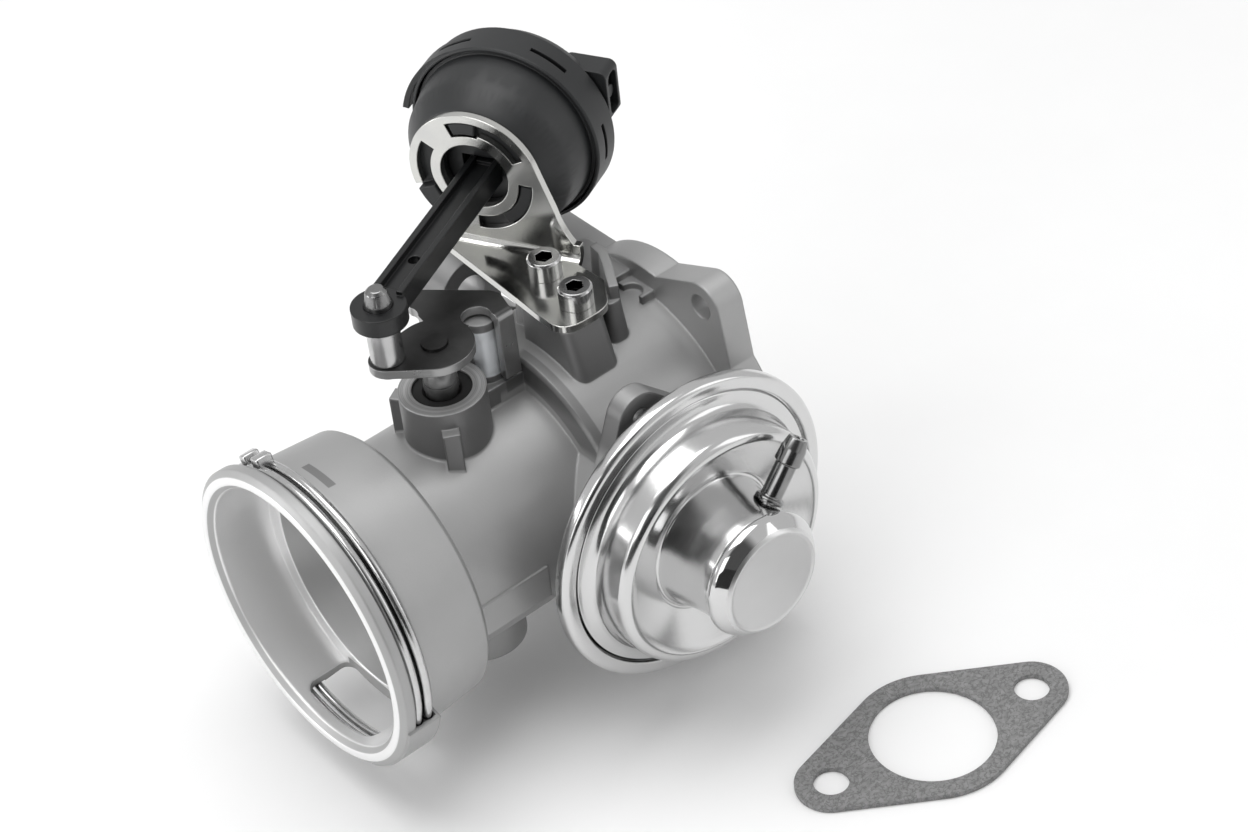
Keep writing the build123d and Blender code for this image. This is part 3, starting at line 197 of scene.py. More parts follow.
class Wire:
    """A node socket that takes part in Python arithmetic by adding Math nodes."""

    def __init__(self, shader, socket):
        self.shader = shader
        self.socket = socket

    def _math(self, operation, *values):
        return self.shader.node("ShaderNodeMath", {"operation": operation}, dict(enumerate(values)))

    def __add__(self, other):
        return self._math("ADD", self, other)

    def __radd__(self, other):
        return self._math("ADD", other, self)

    def __sub__(self, other):
        return self._math("SUBTRACT", self, other)

    def __rsub__(self, other):
        return self._math("SUBTRACT", other, self)

    def __mul__(self, other):
        return self._math("MULTIPLY", self, other)

    def __rmul__(self, other):
        return self._math("MULTIPLY", other, self)

    def size(self):
        return self._math("ABSOLUTE", self)

    def above(self, limit, soft):
        """0 below limit and 1 above limit + soft, with a smooth rise."""
        return self.shader.node(
            "ShaderNodeMapRange",
            {"interpolation_type": "SMOOTHSTEP"},
            {"Value": self, "From Min": limit, "From Max": limit + soft},
        )

    def below(self, limit, soft):
        """1 below limit - soft and 0 above limit, with a smooth fall."""
        return 1 - self.above(limit - soft, soft)

    def between(self, low, high, soft):
        """1 from low to high, with a soft edge outside both."""
        return self.above(low - soft, soft) * self.below(high + soft, soft)

    def clamped(self):
        return self.shader.node("ShaderNodeClamp", {}, {"Value": self})


class Shader:
    """Builds one procedural material, or the world's background."""

    INPUTS = {"color": "Base Color", "roughness": "Roughness", "metallic": "Metallic"}

    def __init__(self, owner):
        self.owner = owner
        owner.use_nodes = True
        self.tree = owner.node_tree
        self.surface = self.tree.nodes.get("Principled BSDF")
        self.coordinates = self.tree.nodes.new("ShaderNodeTexCoord")
        self.place = Wire(self, self.coordinates.outputs["Object"])
        self.facing = Wire(self, self.coordinates.outputs["Normal"])

    def connect(self, socket, value):
        if isinstance(value, Wire):
            self.tree.links.new(value.socket, socket)
        else:
            socket.default_value = value

    def node(self, kind, settings, inputs, output=0):
        made = self.tree.nodes.new(kind)
        for key, value in settings.items():
            setattr(made, key, value)
        for key, value in inputs.items():
            self.connect(made.inputs[key], value)
        return Wire(self, made.outputs[output])

    def axis(self, vector, letter):
        return self.node("ShaderNodeSeparateXYZ", {}, {"Vector": vector}, letter)

    def along(self, distance, letter="X"):
        """A vector that changes only with a distance, for rings and turning marks."""
        return self.node("ShaderNodeCombineXYZ", {}, {letter: distance})

    def vector_math(self, operation, first, second, output="Vector"):
        return self.node("ShaderNodeVectorMath", {"operation": operation}, {0: first, 1: second}, output)

    def centred(self, centre, turn=(0, 0, 0), stretch=(1, 1, 1)):
        """Object coordinates about a centre, turned and stretched."""
        moved = self.vector_math("SUBTRACT", self.place, centre)
        return self.node(
            "ShaderNodeMapping",
            {"vector_type": "POINT"},
            {"Vector": moved, "Rotation": turn, "Scale": stretch},
        )

    def radius(self, centre, axis):
        """Distance from a line through centre along a unit axis."""
        moved = self.vector_math("SUBTRACT", self.place, centre)
        across = self.vector_math("CROSS_PRODUCT", moved, axis)
        return self.node("ShaderNodeVectorMath", {"operation": "LENGTH"}, {0: across}, "Value")

    def noise(self, vector, scale, detail=3.0):
        inputs = {"Vector": vector, "Scale": scale, "Detail": detail, "Roughness": 0.55}
        return self.node("ShaderNodeTexNoise", {}, inputs, "Fac")

    def cells(self, vector, scale):
        return self.node("ShaderNodeTexVoronoi", {}, {"Vector": vector, "Scale": scale}, "Distance")

    def blend(self, factor, low, high):
        """Colour between two colours by a factor."""
        mix = self.tree.nodes.new("ShaderNodeMix")
        mix.data_type = "RGBA"
        sockets = {socket.identifier: socket for socket in mix.inputs}
        self.connect(sockets["Factor_Float"], factor)
        self.connect(sockets["A_Color"], low)
        self.connect(sockets["B_Color"], high)
        return Wire(self, next(out for out in mix.outputs if out.identifier == "Result_Color"))

    def bump(self, height, depth, strength=1.0, edge=0.0):
        """Relief from a height, over edges that look rounded to the given radius."""
        inputs = {"Height": height, "Distance": depth, "Strength": strength}
        if edge:
            inputs["Normal"] = self.node("ShaderNodeBevel", {"samples": 6}, {"Radius": edge})
        self.connect(self.surface.inputs["Normal"], self.node("ShaderNodeBump", {}, inputs))

    def set(self, **values):
        for key, value in values.items():
            self.connect(self.surface.inputs[self.INPUTS[key]], value)
        return self.owner


def shader(name):
    return Shader(bpy.data.materials.new(name))


def tone(grey, tint=0.0):
    """A grey with a slight cool tint."""
    return (grey * (1 - tint), grey, grey * (1 + tint), 1.0)


def casting_masks(s, shaft_radius):
    """One mask for each place on the casting, made from the spans that bound it."""
    wires = {
        "x": s.axis(s.place, "X"),
        "y": s.axis(s.place, "Y"),
        "z": s.axis(s.place, "Z"),
        "bore": s.radius((0, 0, 0), (1, 0, 0)),
        "shaft": shaft_radius,
    }
    masks = {}
    for place, spans in CASTING_PLACES.items():
        mask = 1.0
        for name, (low, high, soft) in spans.items():
            mask = mask * wires[name].between(low * MM, high * MM, soft * MM)
        masks[place] = mask
    return masks


def cast_alloy(looks):
    """Blasted die-cast aluminium with machined faces and painted shade on raised parts and in the groove."""
    s = shader("cast_alloy")
    shaft_radius = s.radius((SHAFT_X, 0, 0), (0, 0, 1))
    at = casting_masks(s, shaft_radius)
    machined = (at["lip"] + at["socket"]).clamped()
    cloud = s.noise(s.place, 60.0)
    grain = s.noise(s.place, 2600.0, 2.0)
    pits = s.cells(s.place, 1500.0)
    turning = s.noise(s.along(shaft_radius), 1500.0, 2.0)
    up = s.axis(s.facing, "Z").above(0.6, 0.3)
    # Painted shade on the sides of the raised features and the boss, less where they face up
    painted_shade_sides = (at["raised"] + at["boss"]).clamped() * (1 - up * 0.7)
    shade = tone(looks.cast_grey * 0.2)
    skin = s.blend(cloud, tone(looks.cast_grey * 0.92), tone(looks.cast_grey * 1.06))
    skin = s.blend(painted_shade_sides * 0.7, skin, shade)
    # Painted shade over the band
    skin = s.blend(at["band"] * 0.55, skin, shade)
    # Painted shade: near-black in the clip's groove on the near side; the patch is darkened the same way
    skin = s.blend((at["groove"] + at["patch"] * 0.6).clamped() * 0.85, skin, tone(0.03))
    skin = s.blend(at["pad"] * (0.7 + cloud.above(0.5, 0.1) * 0.3), skin, tone(0.95, 0.03))
    skin = s.blend(at["boss_top"] * turning.above(0.45, 0.1), skin, tone(looks.cast_grey * 1.25))
    rings = s.node(
        "ShaderNodeTexWave",
        {"wave_type": "RINGS", "rings_direction": "X", "wave_profile": "SIN"},
        {"Vector": s.place, "Scale": 900.0, "Distortion": 0.4, "Detail": 1.0},
        "Fac",
    )
    rough_cast = 1 - machined
    relief = grain * rough_cast * 0.6 + pits * rough_cast * 0.4 + rings * machined * 0.1
    s.bump(relief, 0.03 * MM, 0.6, looks.cast_edge)
    color = s.blend(machined, skin, tone(0.86))
    return s.set(color=color, roughness=0.42 + grain * 0.1 - machined * 0.16, metallic=0.62)


def bright_sheet(looks, polish=1.0):
    """Zinc-plated pressed sheet with faint drawing lines, small scuffs and painted shade in the crimp's crease."""
    s = shader("bright_sheet")
    centre = (EGR_X, 0, EGR_Z)
    cloud = s.noise(s.centred(centre), 90.0)
    scuffs = s.noise(s.centred(centre, (0.4, 0.2, 0.7), (1, 14, 1)), 240.0, 4.0)
    radius = s.radius(centre, (0, 1, 0))
    draw = s.noise(s.along(radius), 2200.0, 2.0)
    s.bump(draw * 0.35 + scuffs * 0.3 + cloud * 0.5, 0.012 * MM, 0.6)
    inner, outer = CRIMP_SHADE_R
    left = s.axis(s.place, "X").below(EGR_X, CRIMP_SHADE_FADE * MM)
    # Painted shade in the crease inside the crimp, fading out to the right of the shells' axis
    crimp_shade = radius.between(inner * MM, outer * MM, 0.15 * MM) * left
    color = s.blend(cloud, tone(looks.sheet_grey * 0.95), tone(looks.sheet_grey * 1.03))
    color = s.blend(crimp_shade * 0.9, color, tone(0.02))
    nose_face = s.axis(s.place, "Y").below(NOSE_FACE * MM, 0.3 * MM)
    rough = (looks.sheet_roughness + scuffs * 0.10 + cloud * 0.05) * polish + nose_face * 0.25
    return s.set(color=color, roughness=rough, metallic=1.0)


def polished_sheet(looks):
    """Nose cap, smoother than the pressed shells."""
    return bright_sheet(looks, 0.4)


def bracket_sheet(looks):
    """Zinc-plated flat sheet with rolling marks and a slight yellow cast."""
    s = shader("bracket_sheet")
    cloud = s.noise(s.place, 120.0, 4.0)
    lines = s.noise(s.centred((0, 0, 0), (0, 0, 0.45), (1, 22, 22)), 120.0)
    color = s.blend(cloud, tone(looks.sheet_grey * 0.82), (0.74, 0.74, 0.70, 1.0))
    s.bump(lines * 0.5 + cloud, 0.015 * MM, 0.6, looks.sheet_edge)
    return s.set(color=color, roughness=0.07 + cloud * 0.10 + lines * 0.05, metallic=1.0)


def turned_steel(looks, dark=None, rough=0.13):
    """Bright turned steel with fine rings, darker where the function dark gives a mask."""
    s = shader("turned_steel")
    marks = s.noise(s.along(s.axis(s.place, "Z"), "Z"), 2600.0, 2.0)
    cloud = s.noise(s.place, 260.0)
    color = s.blend(cloud, tone(0.42), tone(0.60))
    if dark:
        color = s.blend(dark(s), color, tone(0.012))
    s.bump(marks * 0.4 + cloud * 0.3, 0.006 * MM, 0.4)
    return s.set(color=color, roughness=rough + marks * 0.06 + cloud * 0.06, metallic=1.0)


def screw_steel(looks):
    """Screw heads whose hexagon sockets are painted near-black, as shade in the recesses."""

    def sockets(s):
        # Painted shade: near-black inside each hexagon socket
        inside = 0.0
        for x, y in SCREW_SPOTS:
            distance = s.radius((x * MM, y * MM, 0), (0, 0, 1))
            inside = inside + distance.below(SCREW_SOCKET_R * MM, 0.1 * MM)
        return inside.clamped() * s.axis(s.place, "Z").below(SCREW_TOP - 0.25 * MM, 0.3 * MM)

    return turned_steel(looks, sockets)


def shaft_steel(looks):
    """Flap shaft, darkened above the boss as painted shade under the lever, and almost black at its riveted end.
    """

    def upper_end(s):
        z = s.axis(s.place, "Z")
        rivet = z.above(LEVER_TOP - 0.4 * MM, 0.2 * MM)
        # Painted shade on the shaft above the boss, under the lever; the riveted end is darker still
        return (rivet * 0.4 + z.above(36 * MM, 4 * MM) * 0.5).clamped()

    return turned_steel(looks, upper_end, 0.34)


def pin_steel(looks):
    """Link pin, duller on its cone above the rod's eye."""

    def cone(s):
        return s.axis(s.place, "Z").above(LEVER_TOP + PIN_CONE * MM, 0.5 * MM) * 0.5

    return turned_steel(looks, cone, 0.2)


def nipple_steel(looks):
    """Darker turned steel of the vacuum nipple: a mottled, painted dark reflection."""

    def mottled_dark_reflection(s):
        # Painted dark reflection over the whole nipple, with random mottling
        return s.noise(s.place, 120.0, 2.0) * 0.4 + 0.35

    return turned_steel(looks, mottled_dark_reflection)


def spring_wire(looks):
    """Drawn spring steel."""
    s = shader("spring_wire")
    cloud = s.noise(s.place, 500.0)
    color = s.blend(cloud, tone(0.50), tone(0.66))
    s.bump(cloud, 0.004 * MM, 0.4)
    return s.set(color=color, roughness=0.16 + cloud * 0.08, metallic=1.0)


def dark_plate(looks):
    """Phosphated lever plate: near-black faces with bright sheared edges."""
    s = shader("dark_plate")
    edge = 1 - s.axis(s.facing, "Z").size().above(0.55, 0.3)
    cloud = s.noise(s.place, 160.0, 4.0)
    grain = s.noise(s.place, 1800.0, 2.0)
    face = s.blend(cloud, tone(0.045), tone(0.085))
    color = s.blend(edge * 0.8, face, tone(0.42))
    s.bump(grain, 0.012 * MM, 0.6, looks.sheet_edge)
    return s.set(color=color, roughness=0.3 + cloud * 0.16 - edge * 0.08, metallic=0.9)


def heat_steel(looks):
    """Heat-resistant steel with light straw staining."""
    s = shader("heat_steel")
    cloud = s.noise(s.place, 140.0, 4.0)
    color = s.blend(cloud, tone(0.36), (0.46, 0.43, 0.37, 1.0))
    s.bump(s.noise(s.place, 1500.0, 2.0), 0.012 * MM, 0.5)
    return s.set(color=color, roughness=0.32 + cloud * 0.14, metallic=1.0)


def sintered_bronze(looks):
    """Porous bearing bronze."""
    s = shader("sintered_bronze")
    pores = s.cells(s.place, 2400.0)
    color = s.blend(pores, (0.20, 0.13, 0.06, 1.0), (0.50, 0.36, 0.18, 1.0))
    s.bump(pores, 0.02 * MM, 0.7)
    return s.set(color=color, roughness=0.42 + pores * 0.1, metallic=1.0)


def moulded_plastic(looks, rough=0.40, shade=1.0):
    """Glass-filled black plastic with a fine satin texture."""
    s = shader("moulded_plastic")
    grain = s.noise(s.place, 2200.0, 2.0)
    cloud = s.noise(s.place, 90.0)
    grey = looks.plastic_grey * shade
    color = s.blend(cloud, tone(grey * 0.8, 0.05), tone(grey * 1.25, 0.06))
    s.bump(grain, 0.015 * MM, 0.5, looks.plastic_edge)
    return s.set(color=color, roughness=rough + cloud * 0.08 + grain * 0.04, metallic=0.0)


def gloss_plastic(looks):
    """Smoother, deeper black plastic of the link rod."""
    return moulded_plastic(looks, 0.24, 0.5)


def black_rubber(looks):
    """Moulded nitrile rubber, matt with a little bloom."""
    s = shader("black_rubber")
    bloom = s.noise(s.place, 220.0, 4.0)
    color = s.blend(bloom, tone(0.012), tone(0.03))
    s.bump(s.noise(s.place, 2500.0, 2.0), 0.02 * MM, 0.6)
    return s.set(color=color, roughness=0.5 + bloom * 0.15, metallic=0.0)


def graphite_sheet(looks):
    """Pressed graphite gasket sheet with a fine mesh of lighter flecks."""
    s = shader("graphite_sheet")
    fleck = s.cells(s.centred((0, 0, 0), (0, 0, 0.5), (1, 1.7, 1)), 620.0)
    fine = s.noise(s.place, 1500.0)
    cloud = s.noise(s.place, 60.0, 2.0)
    dark = (s.noise(s.place, 700.0, 2.0) - 0.5).size().below(0.06, 0.05)
    grey = looks.gasket_grey
    base = s.blend(fleck * 0.8 + cloud * 0.3, tone(grey * 0.75), tone(grey * 1.35))
    color = s.blend(dark * 0.55, base, tone(grey * 0.4))
    s.bump(fleck * 0.6 + fine * 0.5 - dark * 0.6, 0.05 * MM, 0.8)
    return s.set(color=color, roughness=0.62 + fine * 0.12, metallic=0.15)


FINISHES = {
    "cast_alloy": cast_alloy,
    "spring_steel": spring_wire,
    "bright_steel": turned_steel,
    "zinc_sheet": bright_sheet,
    "dark_steel": dark_plate,
    "black_plastic": moulded_plastic,
    "rubber_black": black_rubber,
    "bronze": sintered_bronze,
    "heat_steel": heat_steel,
    "graphite": graphite_sheet,
    "nose": polished_sheet,
    "bracket": bracket_sheet,
    "screws": screw_steel,
    "shaft": shaft_steel,
    "pin": pin_steel,
    "nipple": nipple_steel,
    "gloss_plastic": gloss_plastic,
}


def finish(name):
    """The material of that name, made once."""
    made = bpy.data.materials.get("finish_" + name)
    if made is None:
        made = FINISHES[name](bpy.context.scene.egr_looks)
        made.name = "finish_" + name
    return made


def dress(piece, look):
    piece.data.materials.clear()
    piece.data.materials.append(finish(look))


def finished_mesh(bm, name, sharp):
    """A smooth-shaded mesh from bm, with edges over the given degrees kept sharp."""
    data = bpy.data.meshes.new(name)
    bm.to_mesh(data)
    bm.free()
    data.shade_smooth()
    data.set_sharp_from_angle(angle=math.radians(sharp))
    return data


def add_piece(name, data, body, look):
    """Puts a finished mesh in the scene. It rides on a body, unless that is None."""
    piece = bpy.data.objects.new(name, data)
    bpy.context.scene.collection.objects.link(piece)
    dress(piece, look)
    if body:
        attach(piece, body)
    return piece


def soften(piece, width):
    """Small rounded edges and even shading."""
    bevel = piece.modifiers.new("edge", "BEVEL")
    bevel.width = width
    bevel.segments = 2
    bevel.limit_method = "ANGLE"
    bevel.angle_limit = math.radians(SHARP_COPY)
    bevel.use_clamp_overlap = True
    bevel.harden_normals = False
    normals = piece.modifiers.new("shading", "WEIGHTED_NORMAL")
    normals.keep_sharp = True


def refined(node, width=0.0, look=None, reshape=None, ride=True):
    """A merged, smooth-shaded copy in a CAD node's place, with softened edges if it has a width."""
    bm = bmesh.new()
    bm.from_mesh(frame["nodes"][node].data)
    bmesh.ops.remove_doubles(bm, verts=bm.verts, dist=0.004 * MM)
    if reshape:
        reshape(bm)
    bmesh.ops.dissolve_limit(
        bm, angle_limit=math.radians(0.6), verts=bm.verts, edges=bm.edges, use_dissolve_boundaries=False
    )
    data = finished_mesh(bm, node + "_finished", SHARP_COPY)
    slot = SLOT_OF[node]
    body = BODY_OF[node] if ride else None
    piece = add_piece(node + "_finished", data, body, look or slot)
    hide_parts(node)
    if width:
        soften(piece, width)
    return piece


def turned(node, profile, origin, axis, steps, look):
    """A CAD node's stand-in, spun from a profile in millimetres round an axis through origin."""
    axis = Vector(axis).normalized()
    side = axis.orthogonal().normalized()
    origin = Vector(origin)
    bm = bmesh.new()
    corners = [bm.verts.new(origin + side * (point[0] * MM) + axis * (point[1] * MM)) for point in profile]
    closed = profile[0][0] > 0 or profile[-1][0] > 0
    for i in range(len(corners) if closed else len(corners) - 1):
        bm.edges.new((corners[i], corners[(i + 1) % len(corners)]))
    for width in sorted({point[2] for point in profile if len(point) > 2}):
        turns = [corner for corner, point in zip(corners, profile) if len(point) > 2 and point[2] == width]
        bmesh.ops.bevel(
            bm, geom=turns, offset=width * MM, offset_type="OFFSET", segments=5, profile=0.5,
            affect="VERTICES", material=-1, clamp_overlap=True,
        )
    bmesh.ops.spin(
        bm, geom=bm.verts[:] + bm.edges[:], cent=origin, axis=axis, angle=math.tau, steps=steps, use_merge=True
    )
    bmesh.ops.remove_doubles(bm, verts=bm.verts, dist=0.002 * MM)
    bmesh.ops.recalc_face_normals(bm, faces=bm.faces)
    data = finished_mesh(bm, node + "_turned", SHARP_TURNED)
    piece = add_piece(node + "_turned", data, BODY_OF[node], look)
    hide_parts(node)
    return piece


def sliding_span(piece, joint_name):
    """A sliding joint's travel and direction, with the piece's near and far end along it."""
    joint = next(joint for joint in frame["joints"] if joint["name"] == joint_name)
    axis = Vector(joint["axis"]).normalized()
    reach = [vert.co.dot(axis) for vert in piece.data.vertices]
    return joint["range_m"][1], axis, min(reach), max(reach)


def shorten(spring, joint_name):
    """Reads the spring's span along its sliding joint and gives the spring a mesh of its own."""
    travel, axis, near, far = sliding_span(spring, joint_name)
    axis * near
    1 - travel / (far - near)
    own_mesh(spring)


def roll(diaphragm, joint_name):
    """Reads the diaphragm's span along its sliding joint and bakes its place into its mesh."""
    axis, near, far = sliding_span(diaphragm, joint_name)[1:]
    axis * far
    axis * near
    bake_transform(diaphragm)


class EGRLooks(bpy.types.PropertyGroup):
    """Sizes and colours that a user may change."""

    cast_grey: bpy.props.FloatProperty(
        name="Cast grey", description="Lightness of the casting's skin",
        default=0.42, min=0, max=1, subtype="FACTOR",
    )
    sheet_grey: bpy.props.FloatProperty(
        name="Sheet grey", description="Lightness of the plated sheet",
        default=0.66, min=0, max=1, subtype="FACTOR",
    )
    sheet_roughness: bpy.props.FloatProperty(
        name="Sheet roughness", description="Roughness of the plated sheet",
        default=0.10, min=0, max=1, subtype="FACTOR",
    )
    plastic_grey: bpy.props.FloatProperty(
        name="Plastic grey", description="Lightness of the black plastic",
        default=0.016, min=0, max=1, subtype="FACTOR",
    )
    gasket_grey: bpy.props.FloatProperty(
        name="Gasket grey", description="Lightness of the graphite sheet",
        default=0.22, min=0, max=1, subtype="FACTOR",
    )
    cast_edge: bpy.props.FloatProperty(
        name="Cast edge", description="Radius of the casting's edges",
        default=0.9 * MM, min=0, unit="LENGTH", precision=5,
    )
    sheet_edge: bpy.props.FloatProperty(
        name="Sheet edge", description="Radius of the sheet's edges",
        default=0.3 * MM, min=0, unit="LENGTH", precision=5,
    )
    plastic_edge: bpy.props.FloatProperty(
        name="Plastic edge", description="Radius of the plastic's edges",
        default=0.5 * MM, min=0, unit="LENGTH", precision=5,
    )
    edge_width: bpy.props.FloatProperty(
        name="Edge width", description="Width of the softened edges",
        default=0.25 * MM, min=0, unit="LENGTH", precision=5,
    )
    wire_radius: bpy.props.FloatProperty(
        name="Clip wire radius", description="Half the clip wire's thickness",
        default=1.2 * MM, min=0, unit="LENGTH", precision=5,
    )
    turned_steps: bpy.props.IntProperty(
        name="Turned steps", description="Steps round each turned sheet part",
        default=180, min=32, max=360,
    )


class EGR_OT_housing(bpy.types.Operator):
    """Casting with its machined faces"""

    bl_idname = "egr.housing"
    bl_label = "Housing"

    def execute(self, context):
        dress(frame["nodes"]["housing"], "cast_alloy")
        return {"FINISHED"}


class EGR_OT_inner_parts(bpy.types.Operator):
    """Finishes of the bushes, seals and valve parts inside"""

    bl_idname = "egr.inner_parts"
    bl_label = "Inner Parts"

    def execute(self, context):
        for node in (
            "upper_shaft_bush", "lower_shaft_bush", "shaft_seal", "shaft_end_plug", "flap_plate", "flap_screws",
            "actuator_piston", "egr_diaphragm", "diaphragm_washer", "diaphragm_cup", "valve_stem", "stem_rivet",
            "valve_poppet", "valve_seat_ring", "stem_guide_bush", "stem_shield", "outlet_seal_ring",
        ):
            dress(frame["nodes"][node], SLOT_OF[node])
        return {"FINISHED"}


class EGR_OT_springs(bpy.types.Operator):
    """Smooth copies of the coil springs and the rolled diaphragm"""

    bl_idname = "egr.springs"
    bl_label = "Springs"

    def execute(self, context):
        shorten(refined("egr_spring"), "egr_lift")
        shorten(refined("actuator_spring"), "actuator_stroke")
        rolled = refined("actuator_diaphragm", ride=False)
        roll(rolled, "actuator_stroke")
        return {"FINISHED"}


class EGR_OT_clip(bpy.types.Operator):
    """Spring clip of two round wires in the collar's groove"""

    bl_idname = "egr.clip"
    bl_label = "Inlet Clip"

    def execute(self, context):
        bm = bmesh.new()
        for x in CLIP_WIRES:
            self.wire(bm, x, context.scene.egr_looks.wire_radius)
        for first, last in CLIP_TABS:
            self.tab(bm, first, last)
        bmesh.ops.recalc_face_normals(bm, faces=bm.faces)
        data = finished_mesh(bm, "inlet_clip_wires", SHARP_CLIP)
        piece = add_piece("inlet_clip_wires", data, "valve_body", "spring_steel")
        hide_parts("inlet_spring_clip")
        return {"FINISHED"}

    def round_bore(self, bm, verts, angle):
        """Turns what was made at the top of the collar to its angle from +Y."""
        turn = Matrix.Rotation(math.radians(angle - 90), 3, "X")
        bmesh.ops.rotate(bm, verts=verts, cent=(0, 0, 0), matrix=turn)

    def wire(self, bm, x, radius):
        """A disc swept round the bore from one end of the gap to the other."""
        disc = bmesh.ops.create_circle(bm, cap_ends=True, radius=radius, segments=CLIP_SIDES)["verts"]
        cap = disc[0].link_faces[0]
        bmesh.ops.rotate(bm, verts=disc, cent=(0, 0, 0), matrix=Matrix.Rotation(math.radians(90), 3, "X"))
        bmesh.ops.translate(bm, verts=disc, vec=(x * MM, 0, CLIP_R * MM))
        self.round_bore(bm, disc, CLIP_GAP[1])
        bmesh.ops.spin(
            bm, geom=disc + cap.edges[:] + [cap], cent=(0, 0, 0), axis=(1, 0, 0),
            angle=math.radians(360 - CLIP_GAP[1] + CLIP_GAP[0]), steps=CLIP_STEPS, use_merge=False,
            use_duplicate=False,
        )

    def tab(self, bm, first, last):
        """A bent wire end, as a small block with rounded edges."""
        verts = bmesh.ops.create_cube(bm, size=1.0)["verts"]
        length = math.radians(last - first) * CLIP_R
        bmesh.ops.scale(bm, verts=verts, vec=(CLIP_TAB_WIDTH * MM, length * MM, CLIP_TAB_HEIGHT * MM))
        bmesh.ops.translate(bm, verts=verts, vec=(sum(CLIP_WIRES) / 2 * MM, 0, CLIP_TAB_R * MM))
        self.round_bore(bm, verts, (first + last) / 2)
        edges = list(dict.fromkeys(edge for vert in verts for edge in vert.link_edges))
        bmesh.ops.bevel(
            bm, geom=edges, offset=CLIP_TAB_EDGE * MM, offset_type="OFFSET", segments=3, profile=0.5,
            affect="EDGES", material=-1, clamp_overlap=True,
        )


class EGR_OT_lever(bpy.types.Operator):
    """Lever plate, flap shaft, link pin and link rod"""

    bl_idname = "egr.lever"
    bl_label = "Lever and Rod"

    def execute(self, context):
        looks = context.scene.egr_looks
        refined("lever_plate", looks.edge_width)
        refined("flap_shaft", 0.0, "shaft", reshape=self.slim_collar)
        refined("link_pin", looks.edge_width * 0.6, "pin")
        refined("link_rod", looks.edge_width, "gloss_plastic")
        return {"FINISHED"}

    def slim_collar(self, bm):
        """Draws the shaft's shoulder above the boss in to a thin ring."""
        for vert in bm.verts:
            across = Vector((vert.co.x - SHAFT_X, vert.co.y, 0))
            if across.length > SHAFT_SHOULDER_R * MM and vert.co.z > SHAFT_SHOULDER_Z * MM:
                vert.co -= across * (1 - SHAFT_RING_R * MM / across.length)


class EGR_OT_bracket(bpy.types.Operator):
    """Actuator bracket and its screws"""

    bl_idname = "egr.bracket"
    bl_label = "Bracket"

    def execute(self, context):
        looks = context.scene.egr_looks
        refined("actuator_bracket", looks.edge_width, "bracket")
        refined("bracket_screws", looks.edge_width * 0.5, "screws")
        return {"FINISHED"}


class EGR_OT_can(bpy.types.Operator):
    """Front bowl and rear cover of the flap's vacuum can"""

    bl_idname = "egr.can"
    bl_label = "Vacuum Can"

    def execute(self, context):
        looks = context.scene.egr_looks
        refined("actuator_front_shell", looks.edge_width)
        refined("actuator_rear_cover", looks.edge_width)
        return {"FINISHED"}


class EGR_OT_diaphragm_chamber(bpy.types.Operator):
    """Turned steel shells, nose cap and nipple of the EGR diaphragm chamber"""

    bl_idname = "egr.diaphragm_chamber"
    bl_label = "Diaphragm Chamber"

    def execute(self, context):
        steps = context.scene.egr_looks.turned_steps
        centre = (EGR_X, 0, EGR_Z)
        nipple_foot = (EGR_X, -NIPPLE_PLANE * MM, EGR_Z)
        nipple_axis = (math.cos(NIPPLE_ANGLE), 0, math.sin(NIPPLE_ANGLE))
        turned("diaphragm_lower_shell", LOWER_SHELL, centre, (0, -1, 0), steps, "zinc_sheet")
        turned("diaphragm_upper_shell", UPPER_SHELL, centre, (0, -1, 0), steps, "zinc_sheet")
        turned("nose_cap", NOSE_CAP, centre, (0, -1, 0), steps, "nose")
        turned("vacuum_nipple", NIPPLE, nipple_foot, nipple_axis, NIPPLE_STEPS, "nipple")
        return {"FINISHED"}


class EGR_OT_gasket(bpy.types.Operator):
    """Loose graphite gasket"""

    bl_idname = "egr.gasket"
    bl_label = "Gasket"

    def execute(self, context):
        refined("egr_gasket", 0.15 * MM)
        return {"FINISHED"}


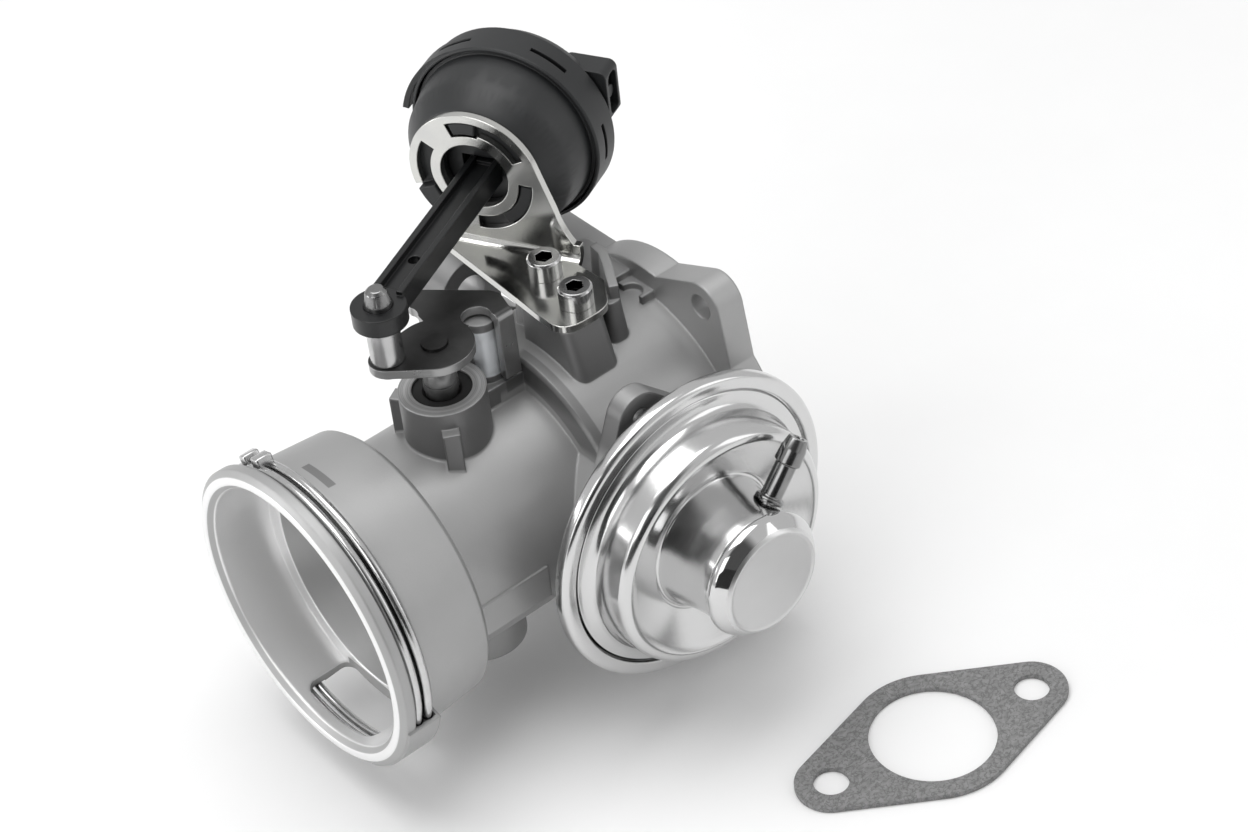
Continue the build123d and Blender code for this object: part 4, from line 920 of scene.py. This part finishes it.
class EGR_OT_stage(bpy.types.Operator):
    """Pale floor, soft lights and the camera"""

    bl_idname = "egr.stage"
    bl_label = "Stage"

    def execute(self, context):
        self.floor()
        self.camera(context)
        for name, place, size, power in LIGHTS:
            self.area_light(name, place, size, power)
        self.dark_card()
        self.sky(context)
        context.scene.view_settings.view_transform = "Standard"
        return {"FINISHED"}

    def stage_piece(self, name, bm, paper):
        """A flat piece of the studio with its own paper."""
        data = bpy.data.meshes.new(name)
        bm.to_mesh(data)
        bm.free()
        data.materials.append(paper)
        piece = bpy.data.objects.new(name, data)
        bpy.context.scene.collection.objects.link(piece)
        return piece

    def paper(self, name, scale, detail, dark, light):
        s = shader(name)
        return s.set(color=s.blend(s.noise(s.place, scale, detail), tone(dark), tone(light)), roughness=0.9)

    def floor(self):
        bm = bmesh.new()
        bmesh.ops.create_grid(bm, x_segments=1, y_segments=1, size=3.0)
        bmesh.ops.translate(bm, verts=bm.verts, vec=(SHAFT_X, 0, FLOOR_Z - 0.05 * MM))
        self.stage_piece("floor", bm, self.paper("floor_paper", 40.0, 2.0, 0.92, 0.94))

    def dark_card(self):
        """A black card beside the camera, seen only in the bright metal."""
        width, height = CARD_HALF_SIZE
        bm = bmesh.new()
        bmesh.ops.create_grid(bm, x_segments=1, y_segments=1, size=1.0)
        bmesh.ops.scale(bm, verts=bm.verts, vec=(width, height, 1))
        for degrees, letter in ((90, "X"), (CARD_TURN, "Z")):
            turn = Matrix.Rotation(math.radians(degrees), 3, letter)
            bmesh.ops.rotate(bm, verts=bm.verts, cent=(0, 0, 0), matrix=turn)
        bmesh.ops.translate(bm, verts=bm.verts, vec=CARD_PLACE)
        piece = self.stage_piece("dark_card", bm, self.paper("card_paper", 20.0, 3.0, 0.01, 0.02))
        piece.visible_camera = False
        piece.visible_shadow = False
        piece.visible_diffuse = False

    def camera(self, context):
        azimuth, elevation, roll_angle = (
            math.radians(angle) for angle in (CAMERA_AZIMUTH, CAMERA_ELEVATION, CAMERA_ROLL)
        )
        level = math.cos(elevation)
        back = Vector((math.sin(azimuth) * level, -math.cos(azimuth) * level, math.sin(elevation)))
        right = Vector((math.cos(azimuth), math.sin(azimuth), 0))
        up = back.cross(right)
        turned_right = right * math.cos(roll_angle) + up * math.sin(roll_angle)
        turned_up = -right * math.sin(roll_angle) + up * math.cos(roll_angle)
        shift = back * CAMERA_DISTANCE + turned_right * CAMERA_RIGHT + turned_up * CAMERA_UP
        data = bpy.data.cameras.new("camera")
        data.sensor_width = 36.0
        data.lens = FOCAL_PX / IMAGE_WIDTH * data.sensor_width
        data.clip_start = 0.01
        view = bpy.data.objects.new("camera", data)
        axes = Matrix((turned_right, turned_up, back)).transposed()
        view.matrix_world = Matrix.Translation(Vector((SHAFT_X, 0, 0)) + shift * MM) @ axes.to_4x4()
        context.scene.collection.objects.link(view)
        context.scene.camera = view

    def area_light(self, name, place, size, power):
        data = bpy.data.lights.new(name, "AREA")
        data.shape = "RECTANGLE"
        data.size, data.size_y = size
        data.energy = power
        aim = Vector((SHAFT_X + 20 * MM, 0, 0))
        lamp = bpy.data.objects.new(name, data)
        lamp.location = place
        lamp.rotation_euler = (aim - Vector(place)).to_track_quat("-Z", "Y").to_euler()
        lamp.visible_camera = False
        bpy.context.scene.collection.objects.link(lamp)

    def sky(self, context):
        """An even pale surround with a darker gap behind the camera."""
        world = bpy.data.worlds.new("studio")
        s = Shader(world)
        direction = Wire(s, s.coordinates.outputs["Generated"])
        gap = s.vector_math("DOT_PRODUCT", direction, SKY_GAP_TOWARDS, "Value").above(0.78, 0.16)
        background = s.tree.nodes["Background"]
        s.connect(background.inputs["Color"], s.blend(gap, tone(0.66), tone(0.10)))
        background.inputs["Strength"].default_value = 1.0
        context.scene.world = world


class EGR_PT_panel(bpy.types.Panel):
    """Lists the pieces and their settings"""

    bl_idname = "EGR_PT_panel"
    bl_label = "EGR Valve"
    bl_space_type = "VIEW_3D"
    bl_region_type = "UI"
    bl_category = "EGR Valve"

    def draw(self, context):
        layout = self.layout
        for name in EGRLooks.__annotations__:
            layout.prop(context.scene.egr_looks, name)
        for operator in OPERATORS:
            layout.operator(operator.bl_idname)


OPERATORS = (
    EGR_OT_housing,
    EGR_OT_inner_parts,
    EGR_OT_springs,
    EGR_OT_clip,
    EGR_OT_lever,
    EGR_OT_bracket,
    EGR_OT_can,
    EGR_OT_diaphragm_chamber,
    EGR_OT_gasket,
    EGR_OT_stage,
)
CLASSES = (EGRLooks,) + OPERATORS + (EGR_PT_panel,)


def register():
    for item in CLASSES:
        bpy.utils.register_class(item)
    bpy.types.Scene.egr_looks = bpy.props.PointerProperty(type=EGRLooks)


def unregister():
    del bpy.types.Scene.egr_looks
    for item in reversed(CLASSES):
        bpy.utils.unregister_class(item)


def main():
    register()
    bpy.ops.egr.housing()
    bpy.ops.egr.inner_parts()
    bpy.ops.egr.springs()
    bpy.ops.egr.clip()
    bpy.ops.egr.lever()
    bpy.ops.egr.bracket()
    bpy.ops.egr.can()
    bpy.ops.egr.diaphragm_chamber()
    bpy.ops.egr.gasket()
    bpy.ops.egr.stage()


if __name__ == "__main__":
    main()
